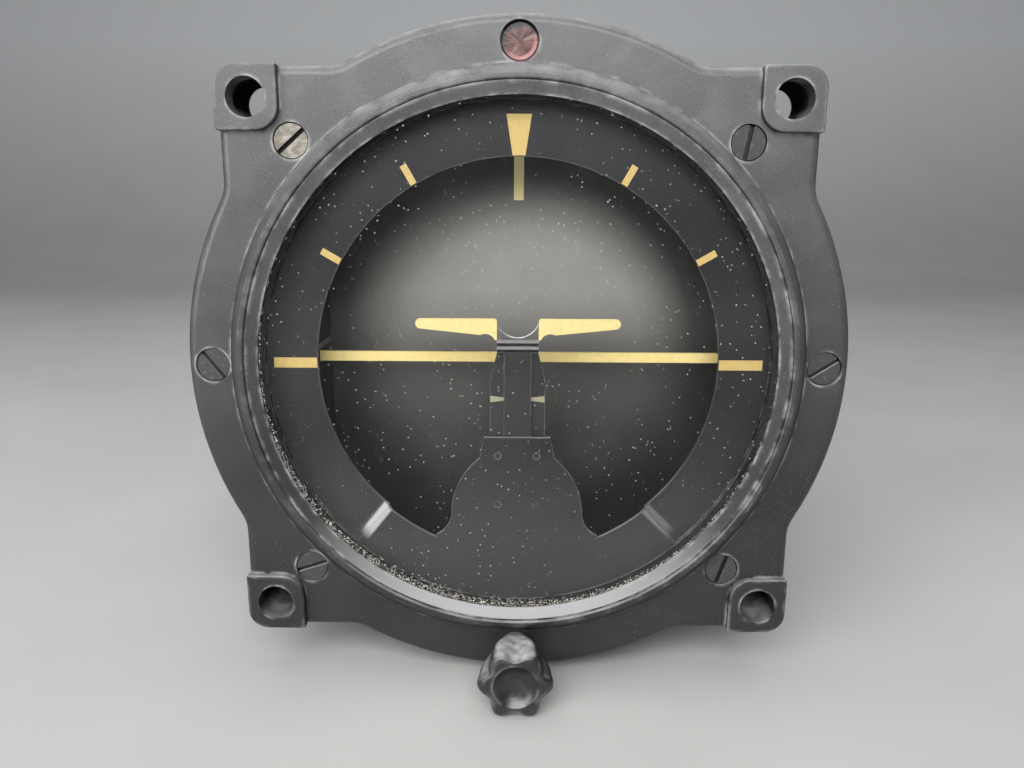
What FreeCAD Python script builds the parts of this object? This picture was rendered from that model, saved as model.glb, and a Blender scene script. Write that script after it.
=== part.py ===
import FreeCAD, Part
import math
import os

# Vacuum gyro horizon with bank scale, horizon bar and miniature aeroplane.
# Millimetres. X to the right, Y into the instrument, Z up.
# Origin: centre of the four panel holes, in the front plane of the ears.

# Panel flange with four ears
hole_spacing = 98.43
mount_hole_r = 3.55
ear_edge = 5.8
ear_corner_r = 4.0
ear_pad_inner_r = 4.5
ear_raise = 1.3
flange_depth = 13.0
flange_edge_r = 1.9
pad_edge_r = 0.5
pad_front_edge_r = 0.4
flange_blend_r = 7.0

# Window: retaining ring, glass, gasket and the lip they press on
window_reach = 0.585
glass_ledge = 2.3
glass_play = 0.1
glass_front_y = 0.2
glass_thickness = 2.0
gasket_thickness = 0.8
lip_overlap = 0.3
lip_thickness = 1.6
window_wall = 3.2
window_ring_rise = 2.9
window_crest = 0.5
window_shoulder_bulge = 0.45
window_inner_edge_r = 0.5
retainer_inner_edge = 0.35
retainer_outer_edge = 1.3
retainer_round_r = 0.3

# Dial mask with its embossed lower shield
cavity_step = 0.2
mask_play = 0.4
mask_band = 10.3
mask_thickness = 0.8
mask_screw_r = 0.8
mask_screw_length = 1.7
mask_screw_head_r = 1.3
mask_screw_head = 0.8
mask_screw_slot = 0.4
mask_screw_angles = (0, 60, 120, 180, 225, 315)
emboss_height = 1.5
emboss_half_angle = 41.5
emboss_ramp = 2.9
emboss_rim_play = 0.2
shield_rise = 24.8
shield_neck_half = 6.65
shield_neck_flare = 0.9
shield_neck_length = 4.4
shield_side_x = 11.575
shield_side_rise = 15.6
shield_shoulder_half = 13.3
shield_shoulder_rise = 8.5
shield_hollow_x = 14.65
shield_hollow_rise = 5.4
shield_foot_half = 16.4
shield_foot_rise = 4.1
shield_overlap = 1.0
mark_thickness = 0.15
mark_margin = 0.1
bank_mark_length = 4.0
bank_mark_width = 1.3
bank_mark_step = 30.0
level_mark_length = 8.5
level_mark_width = 2.0
top_mark_inner_half = 1.2
top_mark_outer_half = 2.36
top_mark_length = 7.4

# Aeroplane tower, slider and rack
tower_thickness = 0.6
tower_half = 5.5
tower_neck_half = 4.1
tower_neck_z = 2.2
tower_taper_z = -3.5
tower_clearance = 0.7
index_mark_z = -7.2
index_mark_width = 1.3
index_mark_inner_width = 0.65
index_mark_inset = 0.1
slider_half = 2.7
slider_thickness = 0.7
slider_gap = 0.15
slider_head_half = 4.1
slider_head_top_z = 4.8
slider_head_height = 2.5
slider_head_fold = 0.6
slider_fold_height = 1.2
slider_fold_ridge = 0.5
slider_travel = 3.5
slider_side_play = 0.1
stud_collar_r = 1.1
stud_shank_r = 0.7
stud_foot = 3.0
stud_spacing = 10.3
rack_arm_rise = 15.07
rack_arm_height = 4.8
rack_bar_width = 2.2
rack_end = 0.3
wing_thickness = 0.6
wing_tip_x = 20.0
wing_top_z = 9.0
wing_tip_half = 1.0
wing_root_bevel = 0.3
wing_root_flare = 3.2
wing_root_drop = 1.2
wing_foot_width = 0.4
wing_curl_x = 0.9
wing_curl_z = 3.5
wire_r = 0.18
wire_drop = 0.9
wire_dip = 2.9

# Knob gear train
gear_module = 0.5
pinion_teeth = 10
idler_teeth = 22
gear_thickness = 1.5
gear_backlash = 0.10
gear_floor = 0.8
gear_room = 0.5
gear_side_play = 0.25
knob_shaft_r = 1.5
running_play = 0.05
bushing_wall = 0.9
idler_pin_r = 1.0
idler_shoulder_r = 1.8
stud_head = 0.6
idler_hole_r = 0.9
idler_hole_circle_r = 3.1
idler_end_play = 0.1

# Adjusting knob
knob_hub_r = 3.3
knob_lobes = 6
knob_dish_r = 4.4
knob_dish_depth = 1.9
knob_bore_depth = 10.5
set_screw_r = 0.8
set_screw_y = -0.5
set_screw_slot = 0.4

# Outlines of the knob from back to front: place on Y, mean radius, height of the lobes
knob_outlines = [(1.0, 3.3, 0.0), (-1.2, 4.1, 0.05), (-4.5, 5.35, 0.3), (-8.5, 6.3, 0.65),
                 (-12.0, 6.6, 0.75), (-13.4, 6.35, 0.75), (-14.0, 5.6, 0.5)]

# Screws of the bezel
bezel_screw_head_r = 3.1
bezel_screw_head = 1.6
bezel_screw_shank_r = 1.75
bezel_screw_length = 17.0
bezel_screw_sink = 0.25
bezel_screw_angles = (0, 45, 135, 180, 225, 315)
bezel_slot_angles = (33, 80, 41, -52, 18, 72)
counterbore_play = 0.2
screw_margin = 0.57
screw_edge = 4.93
screw_slot_width = 0.85
screw_slot_depth = 0.7
seal_sink = 1.0
seal_recess_play = 0.45
seal_film = 0.15
seal_film_edge_r = 0.12
seal_pool_drop = 0.5
seal_pool_depth = 0.6
small_slot_width = 0.7
small_slot_depth = 0.7

# Case
case_gasket_thickness = 0.6
case_flange_step = 1.5
case_flange_thickness = 7.0
case_flange_edge_r = 1.2
case_side = 0.5
case_corner_r = 30.0
case_draft = 1.0
case_wall = 3.0
case_rear_edge_r = 3.0
throat_step = 1.0
case_throat_depth = 8.4
case_rear_y = 145.0
rear_wall = 5.0
race_boss_wall = 5.0
race_boss_length = 3.0
chamber_outer_r = 37.0
chamber_wall = 9.0
chamber_depth = 12.0
port_offset = 37.5
port_boss_r = 7.5
port_boss_length = 10.0
port_bore_r = 3.0
port_thread_r = 5.0

# Rear cover, inlet filter and ports
cover_gasket_thickness = 0.8
cover_thickness = 3.0
cover_edge_r = 1.0
cover_screw_count = 6
cover_screw_shank_r = 1.5
cover_screw_head_r = 2.8
cover_screw_head = 1.6
cover_screw_length = 11.0
filter_wall = 2.5
filter_outer_r = 21.0
filter_depth = 9.0
filter_pad_thickness = 5.0
filter_screen_thickness = 0.8
filter_inlet_r = 14.5
screen_hole_r = 1.3
screen_pitch = 4.3
snap_ring_thickness = 1.2
snap_ring_width = 2.0
snap_ring_gap_half = 2.5
nipple_r = 4.75
nipple_bore_r = 2.8
nipple_length = 15.0
nipple_taper = 3.0
nipple_tip_r = 4.0
hex_across_flats = 12.7
hex_height = 5.0
plug_square = 6.4
plug_square_height = 6.0
plug_collar = 1.5

# Front gimbal bearing bracket
bracket_front_y = 28.0
bracket_thickness = 5.0
bracket_leg_half = 5.0
bracket_boss_r = 9.0
bracket_foot_thickness = 5.0
bracket_foot_half_z = 9.0
bracket_foot_depth = 12.0
bracket_foot_lead = 2.0
bracket_rib_length = 9.0
bracket_rib_half = 1.5
bracket_screw_first = 1.2
bracket_screw_spacing = 8.8
bracket_screw_r = 1.5
bracket_screw_length = 7.0
bracket_screw_head_r = 2.8
bracket_screw_head = 1.7
bracket_spot_play = 0.5
race_wall = 2.5

# Gimbal
gyro_y = 84.0
gimbal_inner_half_y = 37.0
gimbal_member = 4.0
gimbal_side_room = 11.5
gimbal_half_z = 9.0
gimbal_boss_r = 15.0
gimbal_corner_r = 6.0
gimbal_hub_r = 8.0
gimbal_hub_length = 4.0
front_trunnion_r = 3.0
rear_trunnion_r = 4.5
rear_trunnion_bore_r = 2.2
trunnion_collar = 1.5
collar_gap = 0.3
sky_plate_y = 20.0
sky_overlap = 7.0
sky_plate_thickness = 0.8
sky_notch_play = 0.7
sky_notch_half_z = 25.5
sky_flange_r = 10.0
sky_flange_thickness = 3.0
pointer_overlap = 2.5
pointer_length = 10.2
pointer_width = 2.05
pointer_thickness = 0.3
pitch_pivot_r = 3.0
pitch_race_wall = 2.0
balance_r = 9.0
balance_thickness = 6.3
balance_slot_half = 0.6

# Horizon bar arm
arm_pivot_y = 120.0
arm_thickness = 1.5
arm_gap = 3.0
arm_half_height = 4.0
arm_tip_half_height = 1.4
arm_tail_half_height = 2.8
arm_taper_lead = 8.0
arm_slot_play = 0.3
arm_hub_r = 4.5
arm_pin_r = 1.5
arm_boss_gap = 0.4
arm_head_gap = 0.3
arm_pin_head = 1.0
arm_pin_head_r = 2.8
bar_y = 12.5
bar_height = 2.0
bar_thickness = 0.8
bar_overlap = 2.0
bar_end_r = 0.5
arm_hole_r = 1.2
arm_hole_spacing = 9.0
guide_pin_r = 1.25
guide_pin_offset = 10.0
guide_boss_r = 2.55
guide_boss_step = 1.5
guide_slot_play = 0.45
guide_pin_reach = 0.8
pitch_range = 60.0
guide_arc_play = 1.0
counterweight_r = 5.0
counterweight_length = 18.0
counterweight_arm = 12.0

# Rotor housing
housing_r = 27.0
housing_wall = 2.0
housing_rim_width = 3.0
housing_rim_height = 4.0
housing_bottom_z = -17.0
housing_top_z = 14.0
cover_plate = 3.0
cover_plate_edge_r = 0.4
housing_hub_r = 6.0
housing_hub_height = 4.0
housing_bottom_edge_r = 2.5
housing_rib_height = 1.6
pivot_boss_r = 6.0
pivot_boss_gap = 1.5
rotor_play = 1.4
rotor_half_height = 9.5
rotor_rim = 7.0
rotor_web_half = 3.0
rotor_hub_r = 6.0
rotor_shaft_r = 2.0
rotor_shaft_low = 5.0
rotor_shaft_high = 8.0
rotor_hub_rise = 3.0
rotor_rim_slope = 1.5
bucket_count = 24
bucket_r = 1.6
bucket_depth = 1.0
bucket_half_height = 5.7
housing_screw_r = 0.9
housing_screw_head_r = 1.45
housing_screw_head = 1.0
housing_screw_slot = 0.5
erection_r = 8.5
erection_height = 14.0
erection_edge_r = 1.5
erection_flange = 3.0
erection_port_half = 1.4
erection_port_drop = 3.2
vane_gap = 0.4
vane_thickness = 1.2
vane_hub_r = 2.4
vane_half_width = 3.4
vane_pin_r = 1.0
vane_pin_end = 0.6
cross_vane_drop = 5.0
fore_aft_vane_drop = 9.5
vane_length = 4.5

# Values that follow from the ones above
hole_half = hole_spacing / 2
flange_half = hole_half + ear_edge
flange_front_y = ear_raise
window_r = hole_half + window_reach
glass_r = window_r + glass_ledge
seat_r = glass_r + glass_play
lip_inner_r = window_r - lip_overlap
cavity_r = seat_r - cavity_step
glass_rear_y = glass_front_y + glass_thickness
lip_front_y = glass_rear_y + gasket_thickness
lip_rear_y = lip_front_y + lip_thickness
window_outer_r = seat_r + window_wall
window_ring_y = flange_front_y - window_ring_rise
window_crest_r = seat_r + window_inner_edge_r + window_crest
screw_circle_r = window_outer_r + bezel_screw_head_r + screw_margin
flange_r = screw_circle_r + screw_edge
case_flange_r = flange_r - case_flange_step
case_throat_r = cavity_r - throat_step
case_half = cavity_r + case_side
mask_front_y = lip_rear_y
mask_rear_y = mask_front_y + mask_thickness
mask_outer_r = cavity_r - mask_play
mask_inner_r = window_r - mask_band
shield_top_z = shield_rise - mask_inner_r
shield_side_z = shield_side_rise - mask_inner_r
shield_shoulder_z = shield_shoulder_rise - mask_inner_r
shield_hollow_z = shield_hollow_rise - mask_inner_r
shield_foot_z = shield_foot_rise - mask_inner_r
bank_mark_inner_r = mask_inner_r + mark_margin
top_mark_outer_r = bank_mark_inner_r + top_mark_length
sky_plate_r = mask_inner_r + sky_overlap
pointer_top_z = mask_inner_r + pointer_overlap
pointer_bottom_z = pointer_top_z - pointer_length
bar_right_x = mask_inner_r + bar_overlap
shield_front_y = mask_front_y - emboss_height
shield_rear_y = shield_front_y + mask_thickness
emboss_outer_r = lip_inner_r - emboss_rim_play
slider_front_y = shield_rear_y + slider_gap
slider_rear_y = slider_front_y + slider_thickness
tower_front_y = slider_rear_y + slider_gap
tower_rear_y = tower_front_y + tower_thickness
stud_x = slider_half + slider_side_play + stud_collar_r
pinion_z = -screw_circle_r
pinion_pitch_r = gear_module * pinion_teeth / 2
idler_pitch_r = gear_module * idler_teeth / 2
idler_z = pinion_z + pinion_pitch_r + idler_pitch_r
pocket_floor_y = lip_rear_y + gear_floor
gear_front_y = pocket_floor_y + gear_side_play
gear_rear_y = gear_front_y + gear_thickness
rack_arm_top_z = idler_z + rack_arm_rise
tower_bottom_z = rack_arm_top_z + slider_travel + tower_clearance
stud_lower_z = tower_bottom_z + stud_foot
stud_upper_z = stud_lower_z + stud_spacing
rack_pitch_x = -idler_pitch_r
addendum = 0.8 * gear_module
dedendum = 1.1 * gear_module
case_front_y = flange_depth + case_gasket_thickness
case_flange_y = case_front_y + case_flange_thickness
throat_rear_y = case_front_y + case_throat_depth
chamber_inner_r = chamber_outer_r - chamber_wall
cover_screw_circle_r = chamber_outer_r - chamber_wall / 2
cover_seat_y = case_rear_y + chamber_depth
cover_front_y = cover_seat_y + cover_gasket_thickness
cover_rear_y = cover_front_y + cover_thickness
filter_rear_y = cover_rear_y + filter_depth
front_race_r = front_trunnion_r + running_play + race_wall
rear_race_r = rear_trunnion_r + running_play + race_wall
pitch_race_r = pitch_pivot_r + running_play + pitch_race_wall
gimbal_front_y = gyro_y - gimbal_inner_half_y - gimbal_member
gimbal_rear_y = gyro_y + gimbal_inner_half_y + gimbal_member
gimbal_half_x = case_half - case_wall - gimbal_side_room
gimbal_inner_x = gimbal_half_x - gimbal_member
hub_front_y = gimbal_front_y - gimbal_hub_length
hub_rear_y = gimbal_rear_y + gimbal_hub_length
arm_inner_x = -(gimbal_half_x + arm_gap)
arm_outer_x = arm_inner_x - arm_thickness
sky_notch_x = -arm_inner_x - sky_notch_play
guide_pin_y = gyro_y - guide_pin_offset
guide_slot_half = guide_pin_r + guide_slot_play
arm_reach = arm_pivot_y - gyro_y
rotor_r = housing_r - housing_wall - rotor_play
housing_inner_r = housing_r - housing_wall
filter_r = filter_outer_r - filter_wall
race_boss_y = case_rear_y - rear_wall - race_boss_length
seal_head_y = flange_front_y + seal_sink
screw_end_y = flange_front_y + bezel_screw_sink + bezel_screw_head + bezel_screw_length
cover_top_z = housing_top_z + cover_plate
housing_rim_z = housing_top_z - housing_rim_height
erection_bottom_z = housing_bottom_z - erection_height


def vec(x, y, z):
    return FreeCAD.Vector(x, y, z)


def rod(r, y0, y1, x=0.0, z=0.0):
    """Cylinder along Y from y0 to y1."""
    return Part.makeCylinder(r, y1 - y0, vec(x, y0, z), vec(0, 1, 0))


def rod_x(r, x0, x1, y=0.0, z=0.0):
    return Part.makeCylinder(r, x1 - x0, vec(x0, y, z), vec(1, 0, 0))


def rod_z(r, z0, z1, x=0.0, y=0.0):
    return Part.makeCylinder(r, z1 - z0, vec(x, y, z0), vec(0, 0, 1))


def tube(r_in, r_out, y0, y1, x=0.0, z=0.0):
    return rod(r_out, y0, y1, x, z).cut(rod(r_in, y0 - 1, y1 + 1, x, z))


def block(x0, x1, y0, y1, z0, z1):
    return Part.makeBox(x1 - x0, y1 - y0, z1 - z0, vec(x0, y0, z0))


def edges_along(shape, axis):
    """Straight edges parallel to one axis, given as "x", "y" or "z"."""
    return [e for e in shape.Edges if abs(getattr(e.tangentAt(e.FirstParameter), axis)) > 0.9]


def plate_xz(points, y0, y1):
    """Prism along Y over a closed outline of (x, z) points."""
    corners = [vec(x, y0, z) for x, z in points]
    wire = Part.makePolygon(corners + [corners[0]])
    return Part.Face(wire).extrude(vec(0, y1 - y0, 0))


def plate_yz(points, x0, x1):
    """Prism along X over a closed outline of (y, z) points."""
    corners = [vec(x0, y, z) for y, z in points]
    wire = Part.makePolygon(corners + [corners[0]])
    return Part.Face(wire).extrude(vec(x1 - x0, 0, 0))


def plate_xy(points, z0, z1):
    """Prism along Z over a closed outline of (x, y) points."""
    corners = [vec(x, y, z0) for x, y in points]
    wire = Part.makePolygon(corners + [corners[0]])
    return Part.Face(wire).extrude(vec(0, 0, z1 - z0))


def turned(profile):
    """Solid of revolution about Y over (r, y) points."""
    corners = [vec(r, y, 0) for r, y in profile]
    wire = Part.makePolygon(corners + [corners[0]])
    return Part.Face(wire).revolve(vec(0, 0, 0), vec(0, 1, 0), 360)


def polar(r, degrees):
    """(x, z) at radius r, with the angle counted from +X towards +Z."""
    return r * math.cos(math.radians(degrees)), r * math.sin(math.radians(degrees))


def spun(shape, degrees, x=0.0, y=0.0, z=0.0, axis=(0, 1, 0)):
    turned_shape = shape.copy()
    turned_shape.rotate(vec(x, y, z), vec(*axis), degrees)
    return turned_shape


def moved(shape, x, y, z):
    moved_shape = shape.copy()
    moved_shape.translate(vec(x, y, z))
    return moved_shape


def fused(shapes):
    return shapes[0].multiFuse(shapes[1:]).removeSplitter()


def rounded_square(half, corner_r, y):
    """Closed wire of a square with round corners in the plane at y."""
    box = block(-half, half, y, y + 1, -half, half)
    soft = box.makeFillet(corner_r, edges_along(box, "y"))
    front = min(soft.Faces, key=lambda f: f.CenterOfMass.y)
    return front.OuterWire


def circle_edges(shape, r, y, tolerance=0.01):
    """Circular edges about Y with radius r in the plane at y."""
    found = []
    for edge in shape.Edges:
        curve = edge.Curve
        if curve.TypeId == "Part::GeomCircle" and abs(curve.Radius - r) < tolerance:
            if abs(curve.Center.y - y) < tolerance:
                found.append(edge)
    return found


def level_circles(shape, z):
    """Circular edges in the level plane at z."""
    circles = [e for e in shape.Edges if e.Curve.TypeId == "Part::GeomCircle"]
    return [e for e in circles if abs(e.CenterOfMass.z - z) < 0.01]


def slotted_screw(head_r, head, shank_r, length, slot_angle, slot_width, slot_depth):
    """Cheese-head screw along +Y with the front of its head at y 0."""
    solid = fused([rod(head_r, 0, head), rod(shank_r, head - 0.2, head + length)])
    slot = block(-head_r - 1, head_r + 1, -1, slot_depth, -slot_width / 2, slot_width / 2)
    return solid.cut(spun(slot, -slot_angle))


def gear_outline(teeth, first_angle, x, z):
    """Closed (x, z) outline of a spur gear with stub involute teeth."""
    pitch_r = gear_module * teeth / 2
    base_r = pitch_r * math.cos(math.radians(20))
    tip_r = pitch_r + addendum
    root_r = pitch_r - dedendum
    half_tooth = math.pi / (2 * teeth) - gear_backlash / (2 * pitch_r)

    def involute(r):
        ratio = max(r / base_r, 1.0)
        roll = math.sqrt(ratio * ratio - 1)
        return roll - math.atan(roll)

    def half_angle(r):
        return half_tooth + involute(pitch_r) - involute(r)

    radii = [root_r, pitch_r - 0.4 * addendum, pitch_r + 0.3 * addendum, tip_r]
    points = []
    for tooth in range(teeth):
        centre = math.radians(first_angle) + 2 * math.pi * tooth / teeth
        for r in radii:
            a = centre - half_angle(r)
            points.append((x + r * math.cos(a), z + r * math.sin(a)))
        for r in reversed(radii):
            a = centre + half_angle(r)
            points.append((x + r * math.cos(a), z + r * math.sin(a)))
    return points


def rack_outline():
    """Closed (x, z) outline of the rack bar; its teeth face +X."""
    pitch = math.pi * gear_module
    reach = slider_travel + pitch
    count = int(math.ceil(reach / pitch))
    slope = addendum * math.tan(math.radians(20))
    root_slope = dedendum * math.tan(math.radians(20))
    half_tooth = pitch / 4 - gear_backlash / 2
    tip_x = rack_pitch_x + addendum
    root_x = rack_pitch_x - dedendum
    back_x = root_x - rack_bar_width
    points = []
    for tooth in range(-count, count):
        z = idler_z + (tooth + 0.5) * pitch
        points.append((root_x, z - half_tooth - root_slope))
        points.append((tip_x, z - half_tooth + slope))
        points.append((tip_x, z + half_tooth - slope))
        points.append((root_x, z + half_tooth + root_slope))
    bottom_z = points[0][1] - rack_end
    outline = [(back_x, rack_arm_top_z), (back_x, bottom_z), (root_x, bottom_z)]
    return outline + points + [(root_x, rack_arm_top_z)], bottom_z, back_x


def sector_prism(r_out, half_angle, y0, y1):
    """Wedge about Y that opens downwards, for cutting rings into sectors."""
    far = 2 * r_out
    steps = 6
    points = [(0.0, 0.0)]
    for step in range(steps + 1):
        angle = -90 - half_angle + 2 * half_angle * step / steps
        points.append(polar(far, angle))
    return plate_xz(points, y0, y1)


def make_front_bezel():
    """Cast flange, window ring, glass lip and gear pocket in one piece."""
    body_wire = rounded_square(flange_half, ear_corner_r, flange_front_y)
    square = Part.Face(body_wire).extrude(vec(0, flange_depth - flange_front_y, 0))
    flange = fused([square, rod(flange_r, flange_front_y, flange_depth)])
    meeting = math.sqrt(flange_r ** 2 - flange_half ** 2)
    notches = []
    for edge in edges_along(flange, "y"):
        p = edge.CenterOfMass
        near = sorted((abs(p.x), abs(p.z)))
        if abs(near[0] - meeting) < 0.5 and abs(near[1] - flange_half) < 0.5:
            notches.append(edge)
    flange = flange.makeFillet(flange_blend_r, notches)
    front = min(flange.Faces, key=lambda f: f.CenterOfMass.y)
    flange = flange.makeFillet(flange_edge_r, front.OuterWire.Edges)
    pieces = [flange]
    for sx in (-1, 1):
        for sz in (-1, 1):
            pieces.append(make_ear_pad(sx, sz))
    pieces.append(make_window_ring())
    bezel = fused(pieces)
    cuts = [rod(seat_r, window_ring_y - 1, lip_front_y)]
    cuts.append(rod(lip_inner_r, lip_front_y - 1, flange_depth + 1))
    cuts.append(rod(cavity_r, lip_rear_y, flange_depth + 1))
    for sx in (-1, 1):
        for sz in (-1, 1):
            cuts.append(rod(mount_hole_r, -1, flange_depth + 1, sx * hole_half, sz * hole_half))
    head_room = bezel_screw_head_r + counterbore_play
    head_floor_y = flange_front_y + bezel_screw_sink + bezel_screw_head
    for x, z in bezel_screw_places():
        cuts.append(rod(head_room, flange_front_y - 1, head_floor_y, x, z))
        cuts.append(rod(bezel_screw_shank_r + running_play, 0, flange_depth + 1, x, z))
    seal_floor_y = seal_head_y + bezel_screw_head
    seal_recess = rod(seal_recess_r(), flange_front_y - 1, seal_floor_y, 0, screw_circle_r)
    cuts.append(seal_recess.cut(rod(window_outer_r, flange_front_y - 2, seal_floor_y + 1)))
    cuts.append(rod(bezel_screw_shank_r + running_play, 0, flange_depth + 1, 0, screw_circle_r))
    cuts.append(rod(knob_shaft_r + running_play + bushing_wall, 0, flange_depth, 0, pinion_z))
    cuts.append(rod(idler_pin_r, lip_front_y - 0.5, lip_rear_y + 1, 0, idler_z))
    shoulder_room = idler_shoulder_r + running_play
    cuts.append(rod(shoulder_room, lip_rear_y, pocket_floor_y + 1, 0, idler_z))
    cuts.append(gear_pocket())
    for x, z in mask_screw_places():
        cuts.append(rod(mask_screw_r, lip_rear_y - 1.0, lip_rear_y + 1, x, z))
    return bezel.cut(fused(cuts))


def make_window_ring():
    """Raised ring round the window, with a rounded outer shoulder."""
    base_y = flange_front_y + 1
    base = vec(window_outer_r, flange_front_y, 0)
    crest = vec(window_crest_r, window_ring_y, 0)
    rounding = (crest - base).cross(vec(0, 0, 1)).normalize() * window_shoulder_bulge
    shoulder = (base + crest) * 0.5 - rounding
    inner = vec(seat_r, window_ring_y, 0)
    edges = [Part.LineSegment(vec(window_outer_r, base_y, 0), base).toShape()]
    edges.append(Part.Arc(base, shoulder, crest).toShape())
    edges.append(Part.LineSegment(crest, inner).toShape())
    edges.append(Part.LineSegment(inner, vec(seat_r, base_y, 0)).toShape())
    edges.append(Part.LineSegment(vec(seat_r, base_y, 0), vec(window_outer_r, base_y, 0)).toShape())
    ring = Part.Face(Part.Wire(edges)).revolve(vec(0, 0, 0), vec(0, 1, 0), 360)
    return ring.makeFillet(window_inner_edge_r, circle_edges(ring, seat_r, window_ring_y))


def make_ear_pad(sx, sz):
    """Raised square pad around one panel hole, flush with the flange's sides."""
    pad = block(-ear_edge, ear_edge, 0, flange_front_y + 1, -ear_edge, ear_edge)
    inner = [e for e in pad.Edges if is_upright_at(e, -ear_edge, -ear_edge)]
    pad = pad.makeFillet(ear_pad_inner_r, inner)
    outer = [e for e in pad.Edges if is_upright_at(e, ear_edge, ear_edge)]
    pad = pad.makeFillet(ear_corner_r, outer)
    sides = [e for e in pad.Edges if is_upright_at(e, ear_edge, -ear_edge)]
    sides += [e for e in pad.Edges if is_upright_at(e, -ear_edge, ear_edge)]
    pad = pad.makeFillet(pad_edge_r, sides)
    front = min(pad.Faces, key=lambda f: f.CenterOfMass.y)
    pad = pad.makeFillet(pad_front_edge_r, front.OuterWire.Edges)
    quarter_turns = {(1, 1): 0, (1, -1): 90, (-1, -1): 180, (-1, 1): 270}
    pad = spun(pad, quarter_turns[(sx, sz)])
    return moved(pad, sx * hole_half, 0, sz * hole_half)


def is_upright_at(edge, x, z):
    if abs(edge.tangentAt(edge.FirstParameter).y) < 0.9:
        return False
    p = edge.CenterOfMass
    return abs(p.x - x) < 0.01 and abs(p.z - z) < 0.01


def bezel_screw_places():
    return [polar(screw_circle_r, angle) for angle in bezel_screw_angles]


def all_screw_places():
    """The six open screws and the sealed one at the top."""
    return bezel_screw_places() + [(0.0, screw_circle_r)]


def seal_recess_r():
    return bezel_screw_head_r + seal_recess_play


def gear_pocket():
    """Room behind the flange for the pinion, the idler and the rack's travel."""
    room = gear_room
    pinion_room = rod(pinion_pitch_r + addendum + room, pocket_floor_y, flange_depth + 1, 0, pinion_z)
    idler_room = rod(idler_pitch_r + addendum + room, pocket_floor_y, flange_depth + 1, 0, idler_z)
    bottom_z, back_x = rack_outline()[1:]
    left = back_x - room
    right = rack_pitch_x + addendum + room
    low = bottom_z - slider_travel - room
    rack_room = block(left, right, pocket_floor_y, flange_depth + 1, low, idler_z)
    return fused([pinion_room, idler_room, rack_room])


def make_retaining_ring():
    """Threaded ring that holds the glass; its face slopes in towards the window."""
    outer_r = seat_r - glass_play / 2
    low_y = glass_front_y - retainer_inner_edge
    high_y = glass_front_y - retainer_outer_edge
    flat_r = outer_r - retainer_round_r
    profile = [(window_r, glass_front_y), (window_r, low_y), (flat_r, high_y)]
    profile += [(outer_r, high_y), (outer_r, glass_front_y)]
    ring = turned(profile)
    return ring.makeFillet(retainer_round_r, circle_edges(ring, flat_r, high_y))


def make_glass_gasket():
    return tube(lip_inner_r, glass_r, glass_rear_y, lip_front_y)


def make_cover_glass():
    return rod(glass_r, glass_front_y, glass_rear_y)


def mask_screw_places():
    r = (lip_inner_r + mask_outer_r) / 2
    return [polar(r, angle) for angle in mask_screw_angles]


def make_dial_mask():
    """Ring with bank marks; its lower sector is embossed forward as a shield."""
    flat = tube(mask_inner_r, mask_outer_r, mask_front_y, mask_rear_y)
    bottom = sector_prism(mask_outer_r, emboss_half_angle, shield_front_y - 1, mask_rear_y + 1)
    raised_rim_r = emboss_outer_r - mask_thickness
    hollow = rod(raised_rim_r, shield_front_y - 1, mask_rear_y + 1)
    flat = flat.cut(hollow.common(bottom))
    front = tube(mask_inner_r, emboss_outer_r, shield_front_y, shield_rear_y).common(bottom)
    wall = tube(raised_rim_r, emboss_outer_r, shield_front_y, mask_rear_y).common(bottom)
    pieces = [flat, front, wall, shield_blank()]
    for side in (-1, 1):
        pieces.append(emboss_ramp_piece(side))
    mask = fused(pieces)
    cuts = [rod(idler_shoulder_r + mask_play, mask_front_y - 0.01, mask_rear_y + 1, 0, idler_z)]
    for x, z in mask_screw_places():
        cuts.append(rod(mask_screw_r, mask_front_y - 1, mask_rear_y + 1, x, z))
    for x, z in guide_stud_places():
        cuts.append(rod(stud_shank_r, shield_front_y - 1, shield_rear_y + 1, x, z))
    return mask.cut(fused(cuts))


def emboss_ramp_piece(side):
    """Sloping strip that joins the flat ring and the raised sector."""
    half = emboss_ramp / 2
    points = [(-half, shield_front_y), (-half, shield_rear_y), (half, mask_rear_y), (half, mask_front_y)]
    corners = [vec(0, y, t) for t, y in points]
    face = Part.Face(Part.makePolygon(corners + [corners[0]]))
    strip = face.extrude(vec(2 * mask_outer_r, 0, 0))
    if side < 0:
        strip = strip.mirror(vec(0, 0, 0), vec(0, 0, 1))
    angle = -90 + side * emboss_half_angle
    strip = spun(strip, -angle)
    ring = tube(mask_inner_r, emboss_outer_r, shield_front_y - 1, mask_rear_y + 1)
    return strip.common(ring)


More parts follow.
